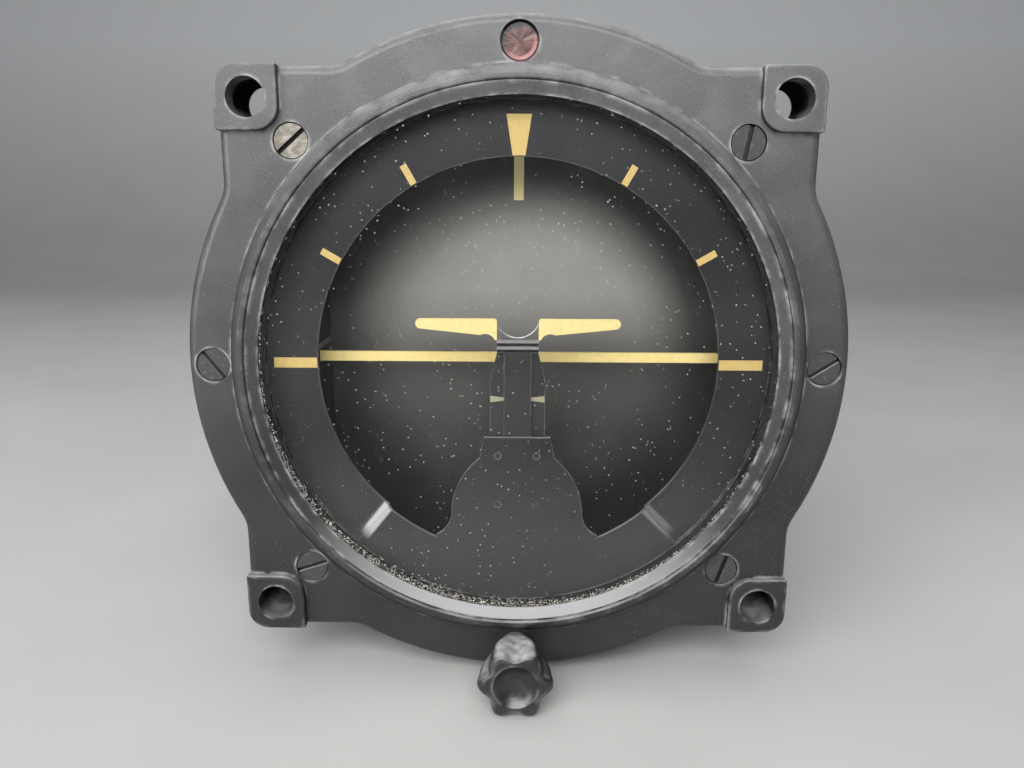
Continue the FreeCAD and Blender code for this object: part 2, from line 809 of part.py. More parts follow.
def shield_blank():
    """Bottle-shaped shield that stands on the raised sector."""
    y = shield_front_y
    edges = []
    neck = vec(-shield_neck_half, y, shield_top_z)
    neck_foot = vec(-shield_neck_half - shield_neck_flare, y, shield_top_z - shield_neck_length)
    shoulder = vec(-shield_shoulder_half, y, shield_shoulder_z)
    foot = vec(-shield_foot_half, y, shield_foot_z)
    base = vec(-shield_foot_half, y, shield_foot_z - shield_foot_rise)
    middle = vec(-shield_side_x, y, shield_side_z)
    hollow = vec(-shield_hollow_x, y, shield_hollow_z)

    def flip(p):
        return vec(-p.x, p.y, p.z)

    edges.append(Part.LineSegment(flip(neck), neck).toShape())
    edges.append(Part.LineSegment(neck, neck_foot).toShape())
    edges.append(Part.Arc(neck_foot, middle, shoulder).toShape())
    edges.append(Part.Arc(shoulder, hollow, foot).toShape())
    edges.append(Part.LineSegment(foot, base).toShape())
    edges.append(Part.LineSegment(base, flip(base)).toShape())
    edges.append(Part.LineSegment(flip(base), flip(foot)).toShape())
    edges.append(Part.Arc(flip(foot), flip(hollow), flip(shoulder)).toShape())
    edges.append(Part.Arc(flip(shoulder), flip(middle), flip(neck_foot)).toShape())
    edges.append(Part.LineSegment(flip(neck_foot), flip(neck)).toShape())
    face = Part.Face(Part.Wire(edges))
    reach = rod(mask_inner_r + shield_overlap, y - 1, y + 3)
    return face.extrude(vec(0, mask_thickness, 0)).common(reach)


def make_dial_markings():
    """Painted marks of the bank scale, on the mask's front face."""
    marks = []
    y0 = mask_front_y - mark_thickness
    inner = bank_mark_inner_r
    half = bank_mark_width / 2
    for step in (-2, -1, 1, 2):
        bar = block(inner, inner + bank_mark_length, y0, mask_front_y, -half, half)
        marks.append(spun(bar, -(90 + step * bank_mark_step)))
    half = level_mark_width / 2
    for side in (0, 180):
        bar = block(inner, inner + level_mark_length, y0, mask_front_y, -half, half)
        marks.append(spun(bar, side))
    wedge = [(-top_mark_inner_half, bank_mark_inner_r), (top_mark_inner_half, bank_mark_inner_r)]
    wedge += [(top_mark_outer_half, top_mark_outer_r), (-top_mark_outer_half, top_mark_outer_r)]
    marks.append(plate_xz(wedge, y0, mask_front_y))
    return Part.makeCompound(marks)


def make_mask_screws():
    screws = []
    for x, z in mask_screw_places():
        screw = slotted_screw(mask_screw_head_r, mask_screw_head, mask_screw_r, mask_screw_length,
                              30, mask_screw_slot, mask_screw_slot)
        screw = spun(screw, 180, axis=(0, 0, 1))
        screws.append(moved(screw, x, mask_rear_y + mask_screw_head, z))
    return Part.makeCompound(screws)


def guide_stud_places():
    return [(sx * stud_x, z) for sx in (-1, 1) for z in (stud_upper_z, stud_lower_z)]


def make_guide_studs():
    """Four riveted spacers that carry the tower and guide the slider's edges."""
    studs = []
    for x, z in guide_stud_places():
        shank = rod(stud_shank_r, shield_front_y, tower_rear_y, x, z)
        studs.append(fused([shank, rod(stud_collar_r, shield_rear_y, tower_front_y, x, z)]))
    return Part.makeCompound(studs)


def make_airplane_tower():
    """Fixed plate behind the slider; its rails show on both sides of the strip."""
    points = [(-tower_neck_half, tower_neck_z), (tower_neck_half, tower_neck_z)]
    points += [(tower_half, tower_taper_z), (tower_half, tower_bottom_z)]
    points += [(-tower_half, tower_bottom_z), (-tower_half, tower_taper_z)]
    plate = plate_xz(points, tower_front_y, tower_rear_y)
    holes = []
    for x, z in guide_stud_places():
        holes.append(rod(stud_shank_r, tower_front_y - 1, tower_rear_y + 1, x, z))
    return plate.cut(fused(holes))


def make_index_marks():
    marks = []
    y0 = tower_front_y - slider_gap / 2
    for side in (-1, 1):
        outer = side * (tower_half - index_mark_inset)
        inner = side * (slider_half + slider_side_play / 2)
        half = index_mark_width / 2
        inner_half = index_mark_inner_width / 2
        points = [(outer, index_mark_z + half), (outer, index_mark_z - half)]
        points += [(inner, index_mark_z - inner_half), (inner, index_mark_z + inner_half)]
        marks.append(plate_xz(points, y0, tower_front_y))
    return Part.makeCompound(marks)


def make_airplane_slider():
    """Strip with a head of two folds that carries the wings."""
    arm_bottom_z = rack_arm_top_z - rack_arm_height
    top_z = slider_head_top_z
    half = slider_head_half
    strip = block(-slider_half, slider_half, slider_front_y, slider_rear_y, arm_bottom_z, top_z)
    head = block(-half, half, slider_front_y, slider_rear_y, top_z - slider_head_height, top_z)
    fold_y = slider_front_y - slider_head_fold
    fold = [(slider_front_y, top_z), (fold_y, top_z - slider_fold_ridge)]
    fold += [(slider_front_y, top_z - slider_fold_height)]
    ridge = plate_yz(fold, -half, half)
    lower = moved(ridge, 0, 0, -(slider_head_height / 2))
    return fused([strip, head, ridge, lower])


def make_slider_rack():
    """Rack bar beside the idler, with the arm that is riveted to the strip."""
    outline, back_x = rack_outline()[0::2]
    bar = plate_xz(outline, gear_front_y, gear_rear_y)
    arm_bottom_z = rack_arm_top_z - rack_arm_height
    arm = block(back_x, slider_half, slider_rear_y, gear_rear_y, arm_bottom_z, rack_arm_top_z)
    return fused([bar, arm])


def make_airplane_wings():
    """Pair of tapered wings that stand on the slider's head."""
    y0 = slider_front_y
    wings = []
    root_x = slider_head_half
    for side in (-1, 1):
        root_low = vec(side * root_x, y0, slider_head_top_z)
        root_top = vec(side * root_x, y0, wing_top_z - wing_root_bevel)
        top_in = vec(side * (root_x + wing_root_bevel), y0, wing_top_z)
        top_out = vec(side * (wing_tip_x - wing_tip_half), y0, wing_top_z)
        tip = vec(side * wing_tip_x, y0, wing_top_z - wing_tip_half)
        low_z = wing_top_z - 2 * wing_tip_half
        low_out = vec(side * (wing_tip_x - wing_tip_half), y0, low_z)
        low_in = vec(side * (root_x + wing_root_flare), y0, low_z - wing_root_drop)
        curl = vec(side * (root_x + wing_curl_x), y0, wing_top_z - wing_curl_z)
        tail = vec(side * (root_x + wing_foot_width), y0, slider_head_top_z)
        edges = [Part.LineSegment(root_low, root_top).toShape()]
        edges.append(Part.LineSegment(root_top, top_in).toShape())
        edges.append(Part.LineSegment(top_in, top_out).toShape())
        edges.append(Part.Arc(top_out, tip, low_out).toShape())
        edges.append(Part.LineSegment(low_out, low_in).toShape())
        edges.append(Part.Arc(low_in, curl, tail).toShape())
        edges.append(Part.LineSegment(tail, root_low).toShape())
        wings.append(Part.Face(Part.Wire(edges)).extrude(vec(0, wing_thickness, 0)))
    return Part.makeCompound(wings)


def make_fuselage_wire():
    """Thin wire that dips between the wings and marks the fuselage."""
    y = slider_front_y + wing_thickness / 2
    end = slider_head_half
    z = wing_top_z - wire_drop
    arc = Part.Arc(vec(-end, y, z), vec(0, y, z - wire_dip), vec(end, y, z)).toShape()
    start = arc.FirstParameter
    ring = Part.Wire([Part.makeCircle(wire_r, arc.valueAt(start), arc.tangentAt(start))])
    wire = Part.Wire([arc]).makePipeShell([ring], True, False)
    inner = block(-end, end, y - 1, y + 1, 0, wing_top_z)
    return wire.common(inner)


def bezel_screw(head_y, slot_angle):
    """Flange screw from its head at head_y to the end of the tapped hole."""
    length = screw_end_y - head_y - bezel_screw_head
    screw = slotted_screw(bezel_screw_head_r, bezel_screw_head, bezel_screw_shank_r,
                          length, slot_angle, screw_slot_width, screw_slot_depth)
    return moved(screw, 0, head_y, 0)


def make_bezel_screws():
    screws = []
    for (x, z), slot_angle in zip(bezel_screw_places(), bezel_slot_angles):
        screws.append(moved(bezel_screw(flange_front_y + bezel_screw_sink, slot_angle), x, 0, z))
    return Part.makeCompound(screws)


def make_seal_screw():
    return moved(bezel_screw(seal_head_y, 90), 0, 0, screw_circle_r)


def make_seal_lacquer():
    """Lacquer over the sealed screw: a film on its head and a pool round it."""
    film_y = seal_head_y - seal_film
    pool_y = seal_head_y + seal_pool_drop
    pool_end_y = pool_y + seal_pool_depth
    film_r = bezel_screw_head_r + seal_film
    film = rod(film_r, film_y, pool_end_y, 0, screw_circle_r)
    film = film.makeFillet(seal_film_edge_r, circle_edges(film, film_r, film_y))
    pool = rod(seal_recess_r(), pool_y, pool_end_y, 0, screw_circle_r)
    pool = pool.cut(rod(window_outer_r, film_y - 1, pool_end_y + 1))
    return fused([film, pool]).cut(make_seal_screw())


def make_knob_bushing():
    inner = knob_shaft_r + running_play
    return tube(inner, inner + bushing_wall, flange_front_y, pocket_floor_y, 0, pinion_z)


def make_knob_shaft():
    shaft = rod(knob_shaft_r, -knob_bore_depth, gear_rear_y + 2 * gear_side_play, 0, pinion_z)
    pinion = plate_xz(gear_outline(pinion_teeth, 90, 0, pinion_z), gear_front_y, gear_rear_y)
    return fused([shaft, pinion])


def make_idler_stud():
    floor_y = gear_front_y - idler_end_play
    head_y = gear_rear_y + idler_end_play
    stud = [rod(idler_pin_r, lip_front_y, head_y + stud_head, 0, idler_z)]
    stud.append(rod(idler_shoulder_r, lip_rear_y, floor_y, 0, idler_z))
    stud.append(rod(idler_shoulder_r, head_y, head_y + stud_head, 0, idler_z))
    return fused(stud)


def make_idler_gear():
    first = 270 + 180 / idler_teeth
    gear = plate_xz(gear_outline(idler_teeth, first, 0, idler_z), gear_front_y, gear_rear_y)
    holes = [rod(idler_pin_r + running_play, gear_front_y - 1, gear_rear_y + 1, 0, idler_z)]
    for turn in range(4):
        x, z = polar(idler_hole_circle_r, 45 + 90 * turn)
        holes.append(rod(idler_hole_r, gear_front_y - 1, gear_rear_y + 1, x, idler_z + z))
    return gear.cut(fused(holes))


def lobed_outline(y, mean_r, lobe):
    """Smooth closed wire with rounded lobes, in the plane at y."""
    points = []
    count = 8 * knob_lobes
    for i in range(count):
        angle = 360 * i / count
        x, z = polar(mean_r + lobe * math.cos(math.radians(knob_lobes * angle)), angle)
        points.append(vec(x, y, z))
    curve = Part.BSplineCurve()
    curve.interpolate(Points=points, PeriodicFlag=True)
    return Part.Wire(curve.toShape())


def make_adjusting_knob():
    """Moulded knob that swells from a round hub to six lobes, with a dished face."""
    back_y = knob_outlines[0][0]
    front_y = knob_outlines[-1][0]
    blank = Part.makeLoft([lobed_outline(*outline) for outline in knob_outlines], True, False)
    ball_r = (knob_dish_r ** 2 + knob_dish_depth ** 2) / (2 * knob_dish_depth)
    dish = Part.makeSphere(ball_r, vec(0, front_y + knob_dish_depth - ball_r, 0))
    bore = rod(knob_shaft_r, -knob_bore_depth, back_y + 1)
    screw_hole = rod_x(set_screw_r, 0, 2 * knob_hub_r, set_screw_y, 0)
    knob = blank.cut(fused([dish, bore, screw_hole]))
    return moved(knob, 0, 0, pinion_z)


def make_knob_set_screw():
    screw = rod_x(set_screw_r, knob_shaft_r, knob_hub_r, set_screw_y, pinion_z)
    half = set_screw_slot / 2
    low_z = pinion_z - 2 * set_screw_r
    high_z = pinion_z + 2 * set_screw_r
    floor_x = knob_hub_r - set_screw_r
    slot = block(floor_x, knob_hub_r + 1, set_screw_y - half, set_screw_y + half, low_z, high_z)
    return screw.cut(slot)


def make_case_gasket():
    ring = tube(case_throat_r, case_flange_r, flange_depth, case_front_y)
    return ring.cut(fused(screw_holes(flange_depth - 1, case_front_y + 1)))


def screw_holes(y0, y1):
    return [rod(bezel_screw_shank_r, y0, y1, x, z) for x, z in all_screw_places()]


def make_case_body():
    """Cast case: front flange, drafted square body, rear wall and bosses."""
    rear_half = case_half - case_draft
    rear_corner = case_corner_r - case_draft
    outside = Part.makeLoft([rounded_square(case_half, case_corner_r, case_front_y),
                             rounded_square(rear_half, rear_corner, case_rear_y)], True, True)
    rear = max(outside.Faces, key=lambda f: f.CenterOfMass.y)
    outside = outside.makeFillet(case_rear_edge_r, rear.OuterWire.Edges)
    flange = rod(case_flange_r, case_front_y, case_flange_y)
    flange = flange.makeFillet(case_flange_edge_r, circle_edges(flange, case_flange_r, case_flange_y))
    pieces = [outside, flange, rod(chamber_outer_r, case_rear_y - 1, cover_seat_y)]
    boss_end = case_rear_y + port_boss_length
    for x in (-port_offset, port_offset):
        pieces.append(rod(port_boss_r, case_rear_y - 1, boss_end, x, port_offset))
    pieces.append(rod(rear_race_r + race_boss_wall, race_boss_y, case_rear_y - 1))
    body = fused(pieces[:2])
    inner_front = rounded_square(case_half - case_wall, case_corner_r - case_wall, throat_rear_y)
    inner_rear = rounded_square(rear_half - case_wall, rear_corner - case_wall, case_rear_y - rear_wall)
    cavity = Part.makeLoft([inner_front, inner_rear], True, True)
    throat = rod(case_throat_r, case_front_y - 1, throat_rear_y)
    body = body.cut(cavity).cut(throat)
    body = fused([body] + pieces[2:])
    cuts = [rod(chamber_inner_r, case_rear_y, cover_seat_y + 1)]
    cuts.append(rod(rear_race_r, race_boss_y - 1, case_rear_y + 1))
    for x in (-port_offset, port_offset):
        cuts.append(rod(port_thread_r, case_rear_y, boss_end + 1, x, port_offset))
        cuts.append(rod(port_bore_r, case_rear_y - rear_wall - 1, case_rear_y + 1, x, port_offset))
    cuts += screw_holes(case_front_y - 1, screw_end_y)
    for x, z in cover_screw_places():
        cuts.append(rod(cover_screw_shank_r, cover_rear_y - cover_screw_length, cover_seat_y + 1, x, z))
    for y in bracket_screw_ys():
        cuts.append(rod_x(bracket_screw_r + running_play, case_half - 2 * case_wall, case_half + 1, y, 0))
        spot_r = bracket_screw_head_r + bracket_spot_play
        cuts.append(rod_x(spot_r, bracket_seat_x(), case_half + 1, y, 0))
    return body.cut(fused(cuts))


def case_inner_half_at(y):
    """Half width of the drafted case's hollow at y."""
    share = (y - throat_rear_y) / (case_rear_y - rear_wall - throat_rear_y)
    return case_half - case_wall - case_draft * share


def bracket_seat_x():
    """Flat on the case's side for the heads of the bracket screws."""
    return case_half - case_draft / 2


def bracket_screw_ys():
    first = bracket_front_y + bracket_screw_first
    return [first, first + bracket_screw_spacing]


def cover_screw_places():
    step = 360 / cover_screw_count
    return [polar(cover_screw_circle_r, 90 + step * i) for i in range(cover_screw_count)]


def make_bearing_bracket():
    """Single-leg bracket that carries the gimbal's front bearing."""
    rear_y = bracket_front_y + bracket_thickness
    foot_rear_y = bracket_front_y + bracket_foot_depth
    inner_x = case_inner_half_at(bracket_front_y) - bracket_foot_thickness
    boss = rod(bracket_boss_r, bracket_front_y, rear_y)
    leg = block(0, inner_x + 1, bracket_front_y, rear_y, -bracket_leg_half, bracket_leg_half)
    rib_tip_x = inner_x - bracket_rib_length
    rib = [(inner_x + 1, foot_rear_y - 2), (inner_x + 1, rear_y - 1), (rib_tip_x, rear_y - 1)]
    rib = plate_xy(rib, -bracket_rib_half, bracket_rib_half)
    foot_y = bracket_front_y - bracket_foot_lead
    foot = [(inner_x, foot_y), (case_inner_half_at(foot_y), foot_y)]
    foot += [(case_inner_half_at(foot_rear_y), foot_rear_y), (inner_x, foot_rear_y)]
    foot = plate_xy(foot, -bracket_foot_half_z, bracket_foot_half_z)
    bracket = fused([boss, leg, rib, foot])
    cuts = [rod(front_race_r, bracket_front_y - 1, rear_y + 1)]
    for y in bracket_screw_ys():
        cuts.append(rod_x(bracket_screw_r, rib_tip_x - 1, case_half, y, 0))
    return bracket.cut(fused(cuts))


def make_bracket_screws():
    screws = []
    for y in bracket_screw_ys():
        screw = slotted_screw(bracket_screw_head_r, bracket_screw_head, bracket_screw_r,
                              bracket_screw_length, 25, small_slot_width, small_slot_depth)
        screw = spun(screw, 90, axis=(0, 0, 1))
        screws.append(moved(screw, bracket_seat_x() + bracket_screw_head, y, 0))
    return Part.makeCompound(screws)


def make_front_race():
    y1 = bracket_front_y + bracket_thickness
    return tube(front_trunnion_r + running_play, front_race_r, bracket_front_y, y1)


def make_rear_race():
    return tube(rear_trunnion_r + running_play, rear_race_r, race_boss_y, case_rear_y)


def make_rear_cover():
    """Round cover of the air chamber, with the inlet filter's cup."""
    plate = rod(chamber_outer_r, cover_front_y, cover_rear_y)
    plate = plate.makeFillet(cover_edge_r, circle_edges(plate, chamber_outer_r, cover_rear_y))
    cup = rod(filter_outer_r, cover_front_y, filter_rear_y)
    cup = cup.makeFillet(cover_edge_r, circle_edges(cup, filter_outer_r, filter_rear_y))
    cover = fused([plate, cup])
    cuts = [rod(filter_r, cover_rear_y, filter_rear_y + 1)]
    cuts.append(rod(filter_inlet_r, cover_front_y - 1, cover_rear_y + 1))
    for x, z in cover_screw_places():
        cuts.append(rod(cover_screw_shank_r + running_play, cover_front_y - 1, cover_rear_y + 1, x, z))
    return cover.cut(fused(cuts))


def make_cover_gasket():
    ring = tube(chamber_inner_r, chamber_outer_r, cover_seat_y, cover_front_y)
    holes = []
    for x, z in cover_screw_places():
        holes.append(rod(cover_screw_shank_r, cover_seat_y - 1, cover_front_y + 1, x, z))
    return ring.cut(fused(holes))


def make_cover_screws():
    screws = []
    for number, (x, z) in enumerate(cover_screw_places()):
        screw = slotted_screw(cover_screw_head_r, cover_screw_head, cover_screw_shank_r,
                              cover_screw_length, 20 + 47 * number, small_slot_width, small_slot_depth)
        screw = spun(screw, 180, axis=(0, 0, 1))
        screws.append(moved(screw, x, cover_rear_y + cover_screw_head, z))
    return Part.makeCompound(screws)


def make_filter_pad():
    return rod(filter_r - running_play, cover_rear_y, cover_rear_y + filter_pad_thickness)


def make_filter_screen():
    """Perforated plate over the felt pad."""
    y0 = cover_rear_y + filter_pad_thickness
    plate = rod(filter_r - running_play, y0, y0 + filter_screen_thickness)
    holes = [rod(screen_hole_r, y0 - 1, y0 + 2)]
    for ring_number in (1, 2, 3):
        count = 6 * ring_number
        for i in range(count):
            x, z = polar(screen_pitch * ring_number, 360 * i / count)
            holes.append(rod(screen_hole_r, y0 - 1, y0 + 2, x, z))
    return plate.cut(Part.makeCompound(holes))


def make_snap_ring():
    y0 = cover_rear_y + filter_pad_thickness + filter_screen_thickness
    inner_r = filter_r - snap_ring_width
    ring = tube(inner_r, filter_r - running_play / 2, y0, y0 + snap_ring_thickness)
    half = snap_ring_gap_half
    return ring.cut(block(-half, half, y0 - 1, y0 + 3, -filter_r - 1, -inner_r + 2))


def hexagon(y0, y1, x, z):
    corner_r = hex_across_flats / math.sqrt(3)
    points = [polar(corner_r, 60 * i) for i in range(6)]
    return plate_xz([(x + px, z + pz) for px, pz in points], y0, y1)


def make_vacuum_nipple():
    """Hose nipple of the suction line, screwed into the upper right port."""
    boss_end = case_rear_y + port_boss_length
    hex_end = boss_end + hex_height
    taper_y = hex_end + nipple_length
    x = port_offset
    pieces = [rod(port_thread_r, case_rear_y, boss_end + 0.5, x, x)]
    pieces.append(hexagon(boss_end, hex_end, x, x))
    pieces.append(rod(nipple_r, hex_end - 0.5, taper_y, x, x))
    pieces.append(Part.makeCone(nipple_r, nipple_tip_r, nipple_taper, vec(x, taper_y, x), vec(0, 1, 0)))
    bore = rod(nipple_bore_r, case_rear_y - 1, taper_y + nipple_taper + 1, x, x)
    return fused(pieces).cut(bore)


def make_port_plug():
    """Pipe plug with a square head in the unused port."""
    boss_end = case_rear_y + port_boss_length
    half = plug_square / 2
    x = -port_offset
    z = port_offset
    pieces = [rod(port_thread_r, case_rear_y, boss_end, x, z)]
    pieces.append(rod(port_thread_r + plug_collar, boss_end, boss_end + plug_collar, x, z))
    pieces.append(block(x - half, x + half, boss_end + 1, boss_end + plug_square_height, z - half, z + half))
    return fused(pieces)


def make_gimbal_frame():
    """Cast ring around the rotor housing, with round bosses at the pitch axis."""
    front = gimbal_front_y
    rear = gimbal_rear_y
    outside = block(-gimbal_half_x, gimbal_half_x, front, rear, -gimbal_half_z, gimbal_half_z)
    outside = outside.makeFillet(gimbal_corner_r, edges_along(outside, "z"))
    inner_x = gimbal_inner_x
    deep = 2 * gimbal_half_z
    inside = block(-inner_x, inner_x, front + gimbal_member, rear - gimbal_member, -deep, deep)
    frame = outside.cut(inside)
    side_boss = rod_x(gimbal_boss_r, gimbal_inner_x, gimbal_half_x, gyro_y, 0)
    other_boss = rod_x(gimbal_boss_r, -gimbal_half_x, -gimbal_inner_x, gyro_y, 0)
    hubs = [rod(gimbal_hub_r, hub_front_y, front + 1), rod(gimbal_hub_r, rear - 1, hub_rear_y)]
    pin_boss = rod_x(arm_hub_r, arm_inner_x + arm_boss_gap, -gimbal_half_x + 1, arm_pivot_y, 0)
    frame = fused([frame, side_boss, other_boss, pin_boss] + hubs)
    cuts = [rod(front_trunnion_r, hub_front_y - 1, front + gimbal_member + 1)]
    cuts.append(rod(rear_trunnion_r, rear - gimbal_member - 1, hub_rear_y + 1))
    cuts.append(rod_x(pitch_race_r, -gimbal_half_x - 1, gimbal_half_x + 1, gyro_y, 0))
    cuts.append(rod_x(arm_pin_r, -gimbal_half_x - arm_gap, -gimbal_inner_x + 1, arm_pivot_y, 0))
    cuts.append(guide_arc_slot())
    return frame.cut(fused(cuts))


def guide_arc_slot():
    """Slot on an arc about the pitch axis, for the housing's guide pin."""
    x0 = -gimbal_half_x - 1
    width = gimbal_member + 2
    inner = rod_x(guide_pin_offset - guide_slot_half, x0 - 1, x0 + width + 1, gyro_y, 0)
    outer = rod_x(guide_pin_offset + guide_slot_half, x0, x0 + width, gyro_y, 0)
    half = pitch_range + guide_arc_play
    far = 3 * guide_pin_offset
    points = [(gyro_y, 0.0)]
    for step in range(5):
        a = math.radians(180 - half + 2 * half * step / 4)
        points.append((gyro_y + far * math.cos(a), far * math.sin(a)))
    wedge = plate_yz(points, x0, x0 + width)
    slot = [outer.cut(inner).common(wedge)]
    for side in (-1, 1):
        a = math.radians(180 + side * half)
        y = gyro_y + guide_pin_offset * math.cos(a)
        z = guide_pin_offset * math.sin(a)
        slot.append(rod_x(guide_slot_half, x0, x0 + width, y, z))
    return fused(slot)


def make_front_trunnion():
    """Front shaft of the gimbal, with the flange that carries the sky plate."""
    flange_y = sky_plate_y + sky_plate_thickness
    shaft = rod(front_trunnion_r, flange_y, gimbal_front_y + gimbal_member)
    flange = rod(sky_flange_r, flange_y, flange_y + sky_flange_thickness)
    collar_r = front_trunnion_r + trunnion_collar
    collar = rod(collar_r, flange_y + 2, bracket_front_y - collar_gap)
    rear_collar = rod(collar_r, bracket_front_y + bracket_thickness + collar_gap, hub_front_y)
    return fused([shaft, flange, collar, rear_collar])


def make_rear_trunnion():
    """Hollow rear shaft, through which the air reaches the gimbal."""
    start = gimbal_rear_y - gimbal_member
    end = case_rear_y + 2
    shaft = rod(rear_trunnion_r, start, end)
    collar = rod(rear_trunnion_r + trunnion_collar, hub_rear_y, race_boss_y - collar_gap)
    return fused([shaft, collar]).cut(rod(rear_trunnion_bore_r, start - 1, end + 1))


def make_sky_plate():
    """Background disc that rolls with the gimbal; notched for the bar's arm."""
    disc = rod(sky_plate_r, sky_plate_y, sky_plate_y + sky_plate_thickness)
    half = sky_notch_half_z
    notch = block(-sky_plate_r - 1, -sky_notch_x, sky_plate_y - 1, sky_plate_y + 3, -half, half)
    return disc.cut(notch)


def make_bank_pointer():
    half = pointer_width / 2
    return block(-half, half, sky_plate_y - pointer_thickness, sky_plate_y, pointer_bottom_z, pointer_top_z)


def make_pitch_races():
    inner = pitch_pivot_r + running_play
    races = []
    for x0 in (-gimbal_half_x, gimbal_inner_x):
        ring = rod_x(pitch_race_r, x0, x0 + gimbal_member, gyro_y, 0)
        races.append(ring.cut(rod_x(inner, x0 - 1, x0 + gimbal_member + 1, gyro_y, 0)))
    return Part.makeCompound(races)


def make_bar_pivot_pin():
    """Pin on the gimbal's left side, with a head that keeps the arm on."""
    head_x = arm_outer_x - arm_head_gap
    pin = rod_x(arm_pin_r, head_x - arm_pin_head, -gimbal_inner_x, arm_pivot_y, 0)
    head = rod_x(arm_pin_head_r, head_x - arm_pin_head, head_x, arm_pivot_y, 0)
    return fused([pin, head])


def make_balance_weight():
    """Screwed disc opposite the bar's arm; it balances the gimbal in roll."""
    x0 = gimbal_half_x
    y = arm_pivot_y - balance_r
    weight = rod_x(balance_r, x0, x0 + balance_thickness, y, 0)
    end_x = x0 + balance_thickness
    half = balance_slot_half
    return weight.cut(block(end_x - 1, end_x + 1, y - 2 * balance_r, y + 2 * balance_r, -half, half))


def make_horizon_arm():
    """Long arm outside the gimbal; its slot takes the housing's guide pin."""
    near = math.hypot(arm_reach + guide_pin_offset * math.cos(math.radians(pitch_range)),
                      guide_pin_offset * math.sin(math.radians(pitch_range)))
    slot_front_y = guide_pin_y - arm_slot_play
    slot_rear_y = arm_pivot_y - near + arm_slot_play
    wide_front = slot_front_y - arm_taper_lead
    tail_y = arm_pivot_y + counterweight_arm
    points = [(bar_y, -arm_tip_half_height), (bar_y, arm_tip_half_height)]
    points += [(wide_front, arm_half_height), (arm_pivot_y, arm_half_height)]
    points += [(tail_y, arm_tail_half_height), (tail_y, -arm_tail_half_height)]
    points += [(arm_pivot_y, -arm_half_height), (wide_front, -arm_half_height)]
    arm = plate_yz(points, arm_outer_x, arm_inner_x)
    hub = rod_x(arm_hub_r, arm_outer_x, arm_inner_x, arm_pivot_y, 0)
    arm = fused([arm, hub])
    half = guide_slot_half
    cuts = [block(arm_outer_x - 1, arm_inner_x + 1, slot_front_y, slot_rear_y, -half, half)]
    for y in (slot_front_y, slot_rear_y):
        cuts.append(rod_x(guide_slot_half, arm_outer_x - 1, arm_inner_x + 1, y, 0))
    cuts.append(rod_x(arm_pin_r + running_play, arm_outer_x - 1, arm_inner_x + 1, arm_pivot_y, 0))
    for number in (1, 2, 3):
        y = wide_front - arm_hole_spacing * number
        cuts.append(rod_x(arm_hole_r, arm_outer_x - 1, arm_inner_x + 1, y, 0))
    return arm.cut(fused(cuts))


def make_horizon_bar():
    """Luminous bar across the dial, carried at its left end by the arm."""
    half = bar_height / 2
    bar = block(arm_inner_x, bar_right_x, bar_y, bar_y + bar_thickness, -half, half)
    right = [e for e in edges_along(bar, "y") if e.CenterOfMass.x > 0]
    return bar.makeFillet(bar_end_r, right)


def make_arm_counterweight():
    """Brass bar weight behind the arm's pivot."""
    y = arm_pivot_y + counterweight_arm
    return rod_x(counterweight_r, arm_inner_x, arm_inner_x + counterweight_length, y, 0)


def make_rotor_housing():
    """Cup around the rotor, with the pitch pivots in its sides."""
    cup = rod_z(housing_r, housing_bottom_z, housing_top_z, 0, gyro_y)
    cup = cup.makeFillet(housing_bottom_edge_r, level_circles(cup, housing_bottom_z))
    hollow = rod_z(housing_inner_r, housing_bottom_z + housing_wall, housing_top_z + 1, 0, gyro_y)
    start = housing_inner_r - 0.5
    boss_end = gimbal_inner_x - pivot_boss_gap
    bosses = [rod_x(pivot_boss_r, start, boss_end, gyro_y, 0)]
    bosses.append(rod_x(pivot_boss_r, -boss_end, -start, gyro_y, 0))
    bosses.append(rod_x(guide_boss_r, -boss_end + guide_boss_step, -housing_r + 6, guide_pin_y, 0))
    hub = rod_z(housing_hub_r, housing_bottom_z, housing_bottom_z + housing_hub_height, 0, gyro_y)
    rim = rod_z(housing_inner_r, housing_rim_z, housing_top_z, 0, gyro_y)
    rim = rim.cut(rod_z(housing_r - housing_rim_width, housing_rim_z - 1, housing_top_z + 1, 0, gyro_y))
    body = fused([cup] + bosses).cut(hollow)
    body = fused([body, hub, rim])
    cuts = [rod_z(rotor_shaft_r + running_play, housing_bottom_z + 1, 0, 0, gyro_y)]
    cuts.append(rod_x(pitch_pivot_r, start - 4, gimbal_half_x, gyro_y, 0))
    cuts.append(rod_x(pitch_pivot_r, -gimbal_half_x, -start + 4, gyro_y, 0))
    cuts.append(make_guide_pin())
    cuts.append(housing_screw_holes(housing_rim_z - 1, housing_top_z + 1))
    return body.cut(fused(cuts))


def make_pitch_pivots():
    """Two pivot pins pressed into the housing's side bosses."""
    start = housing_inner_r
    end = gimbal_half_x - collar_gap
    pins = [rod_x(pitch_pivot_r, start, end, gyro_y, 0), rod_x(pitch_pivot_r, -end, -start, gyro_y, 0)]
    return Part.makeCompound(pins)


def make_guide_pin():
    """Pin from the housing's wall, through the gimbal's arc slot, into the arm's slot."""
    wall_x = -math.sqrt(housing_inner_r ** 2 - guide_pin_offset ** 2)
    return rod_x(guide_pin_r, arm_outer_x - guide_pin_reach, wall_x - housing_wall / 2, guide_pin_y, 0)


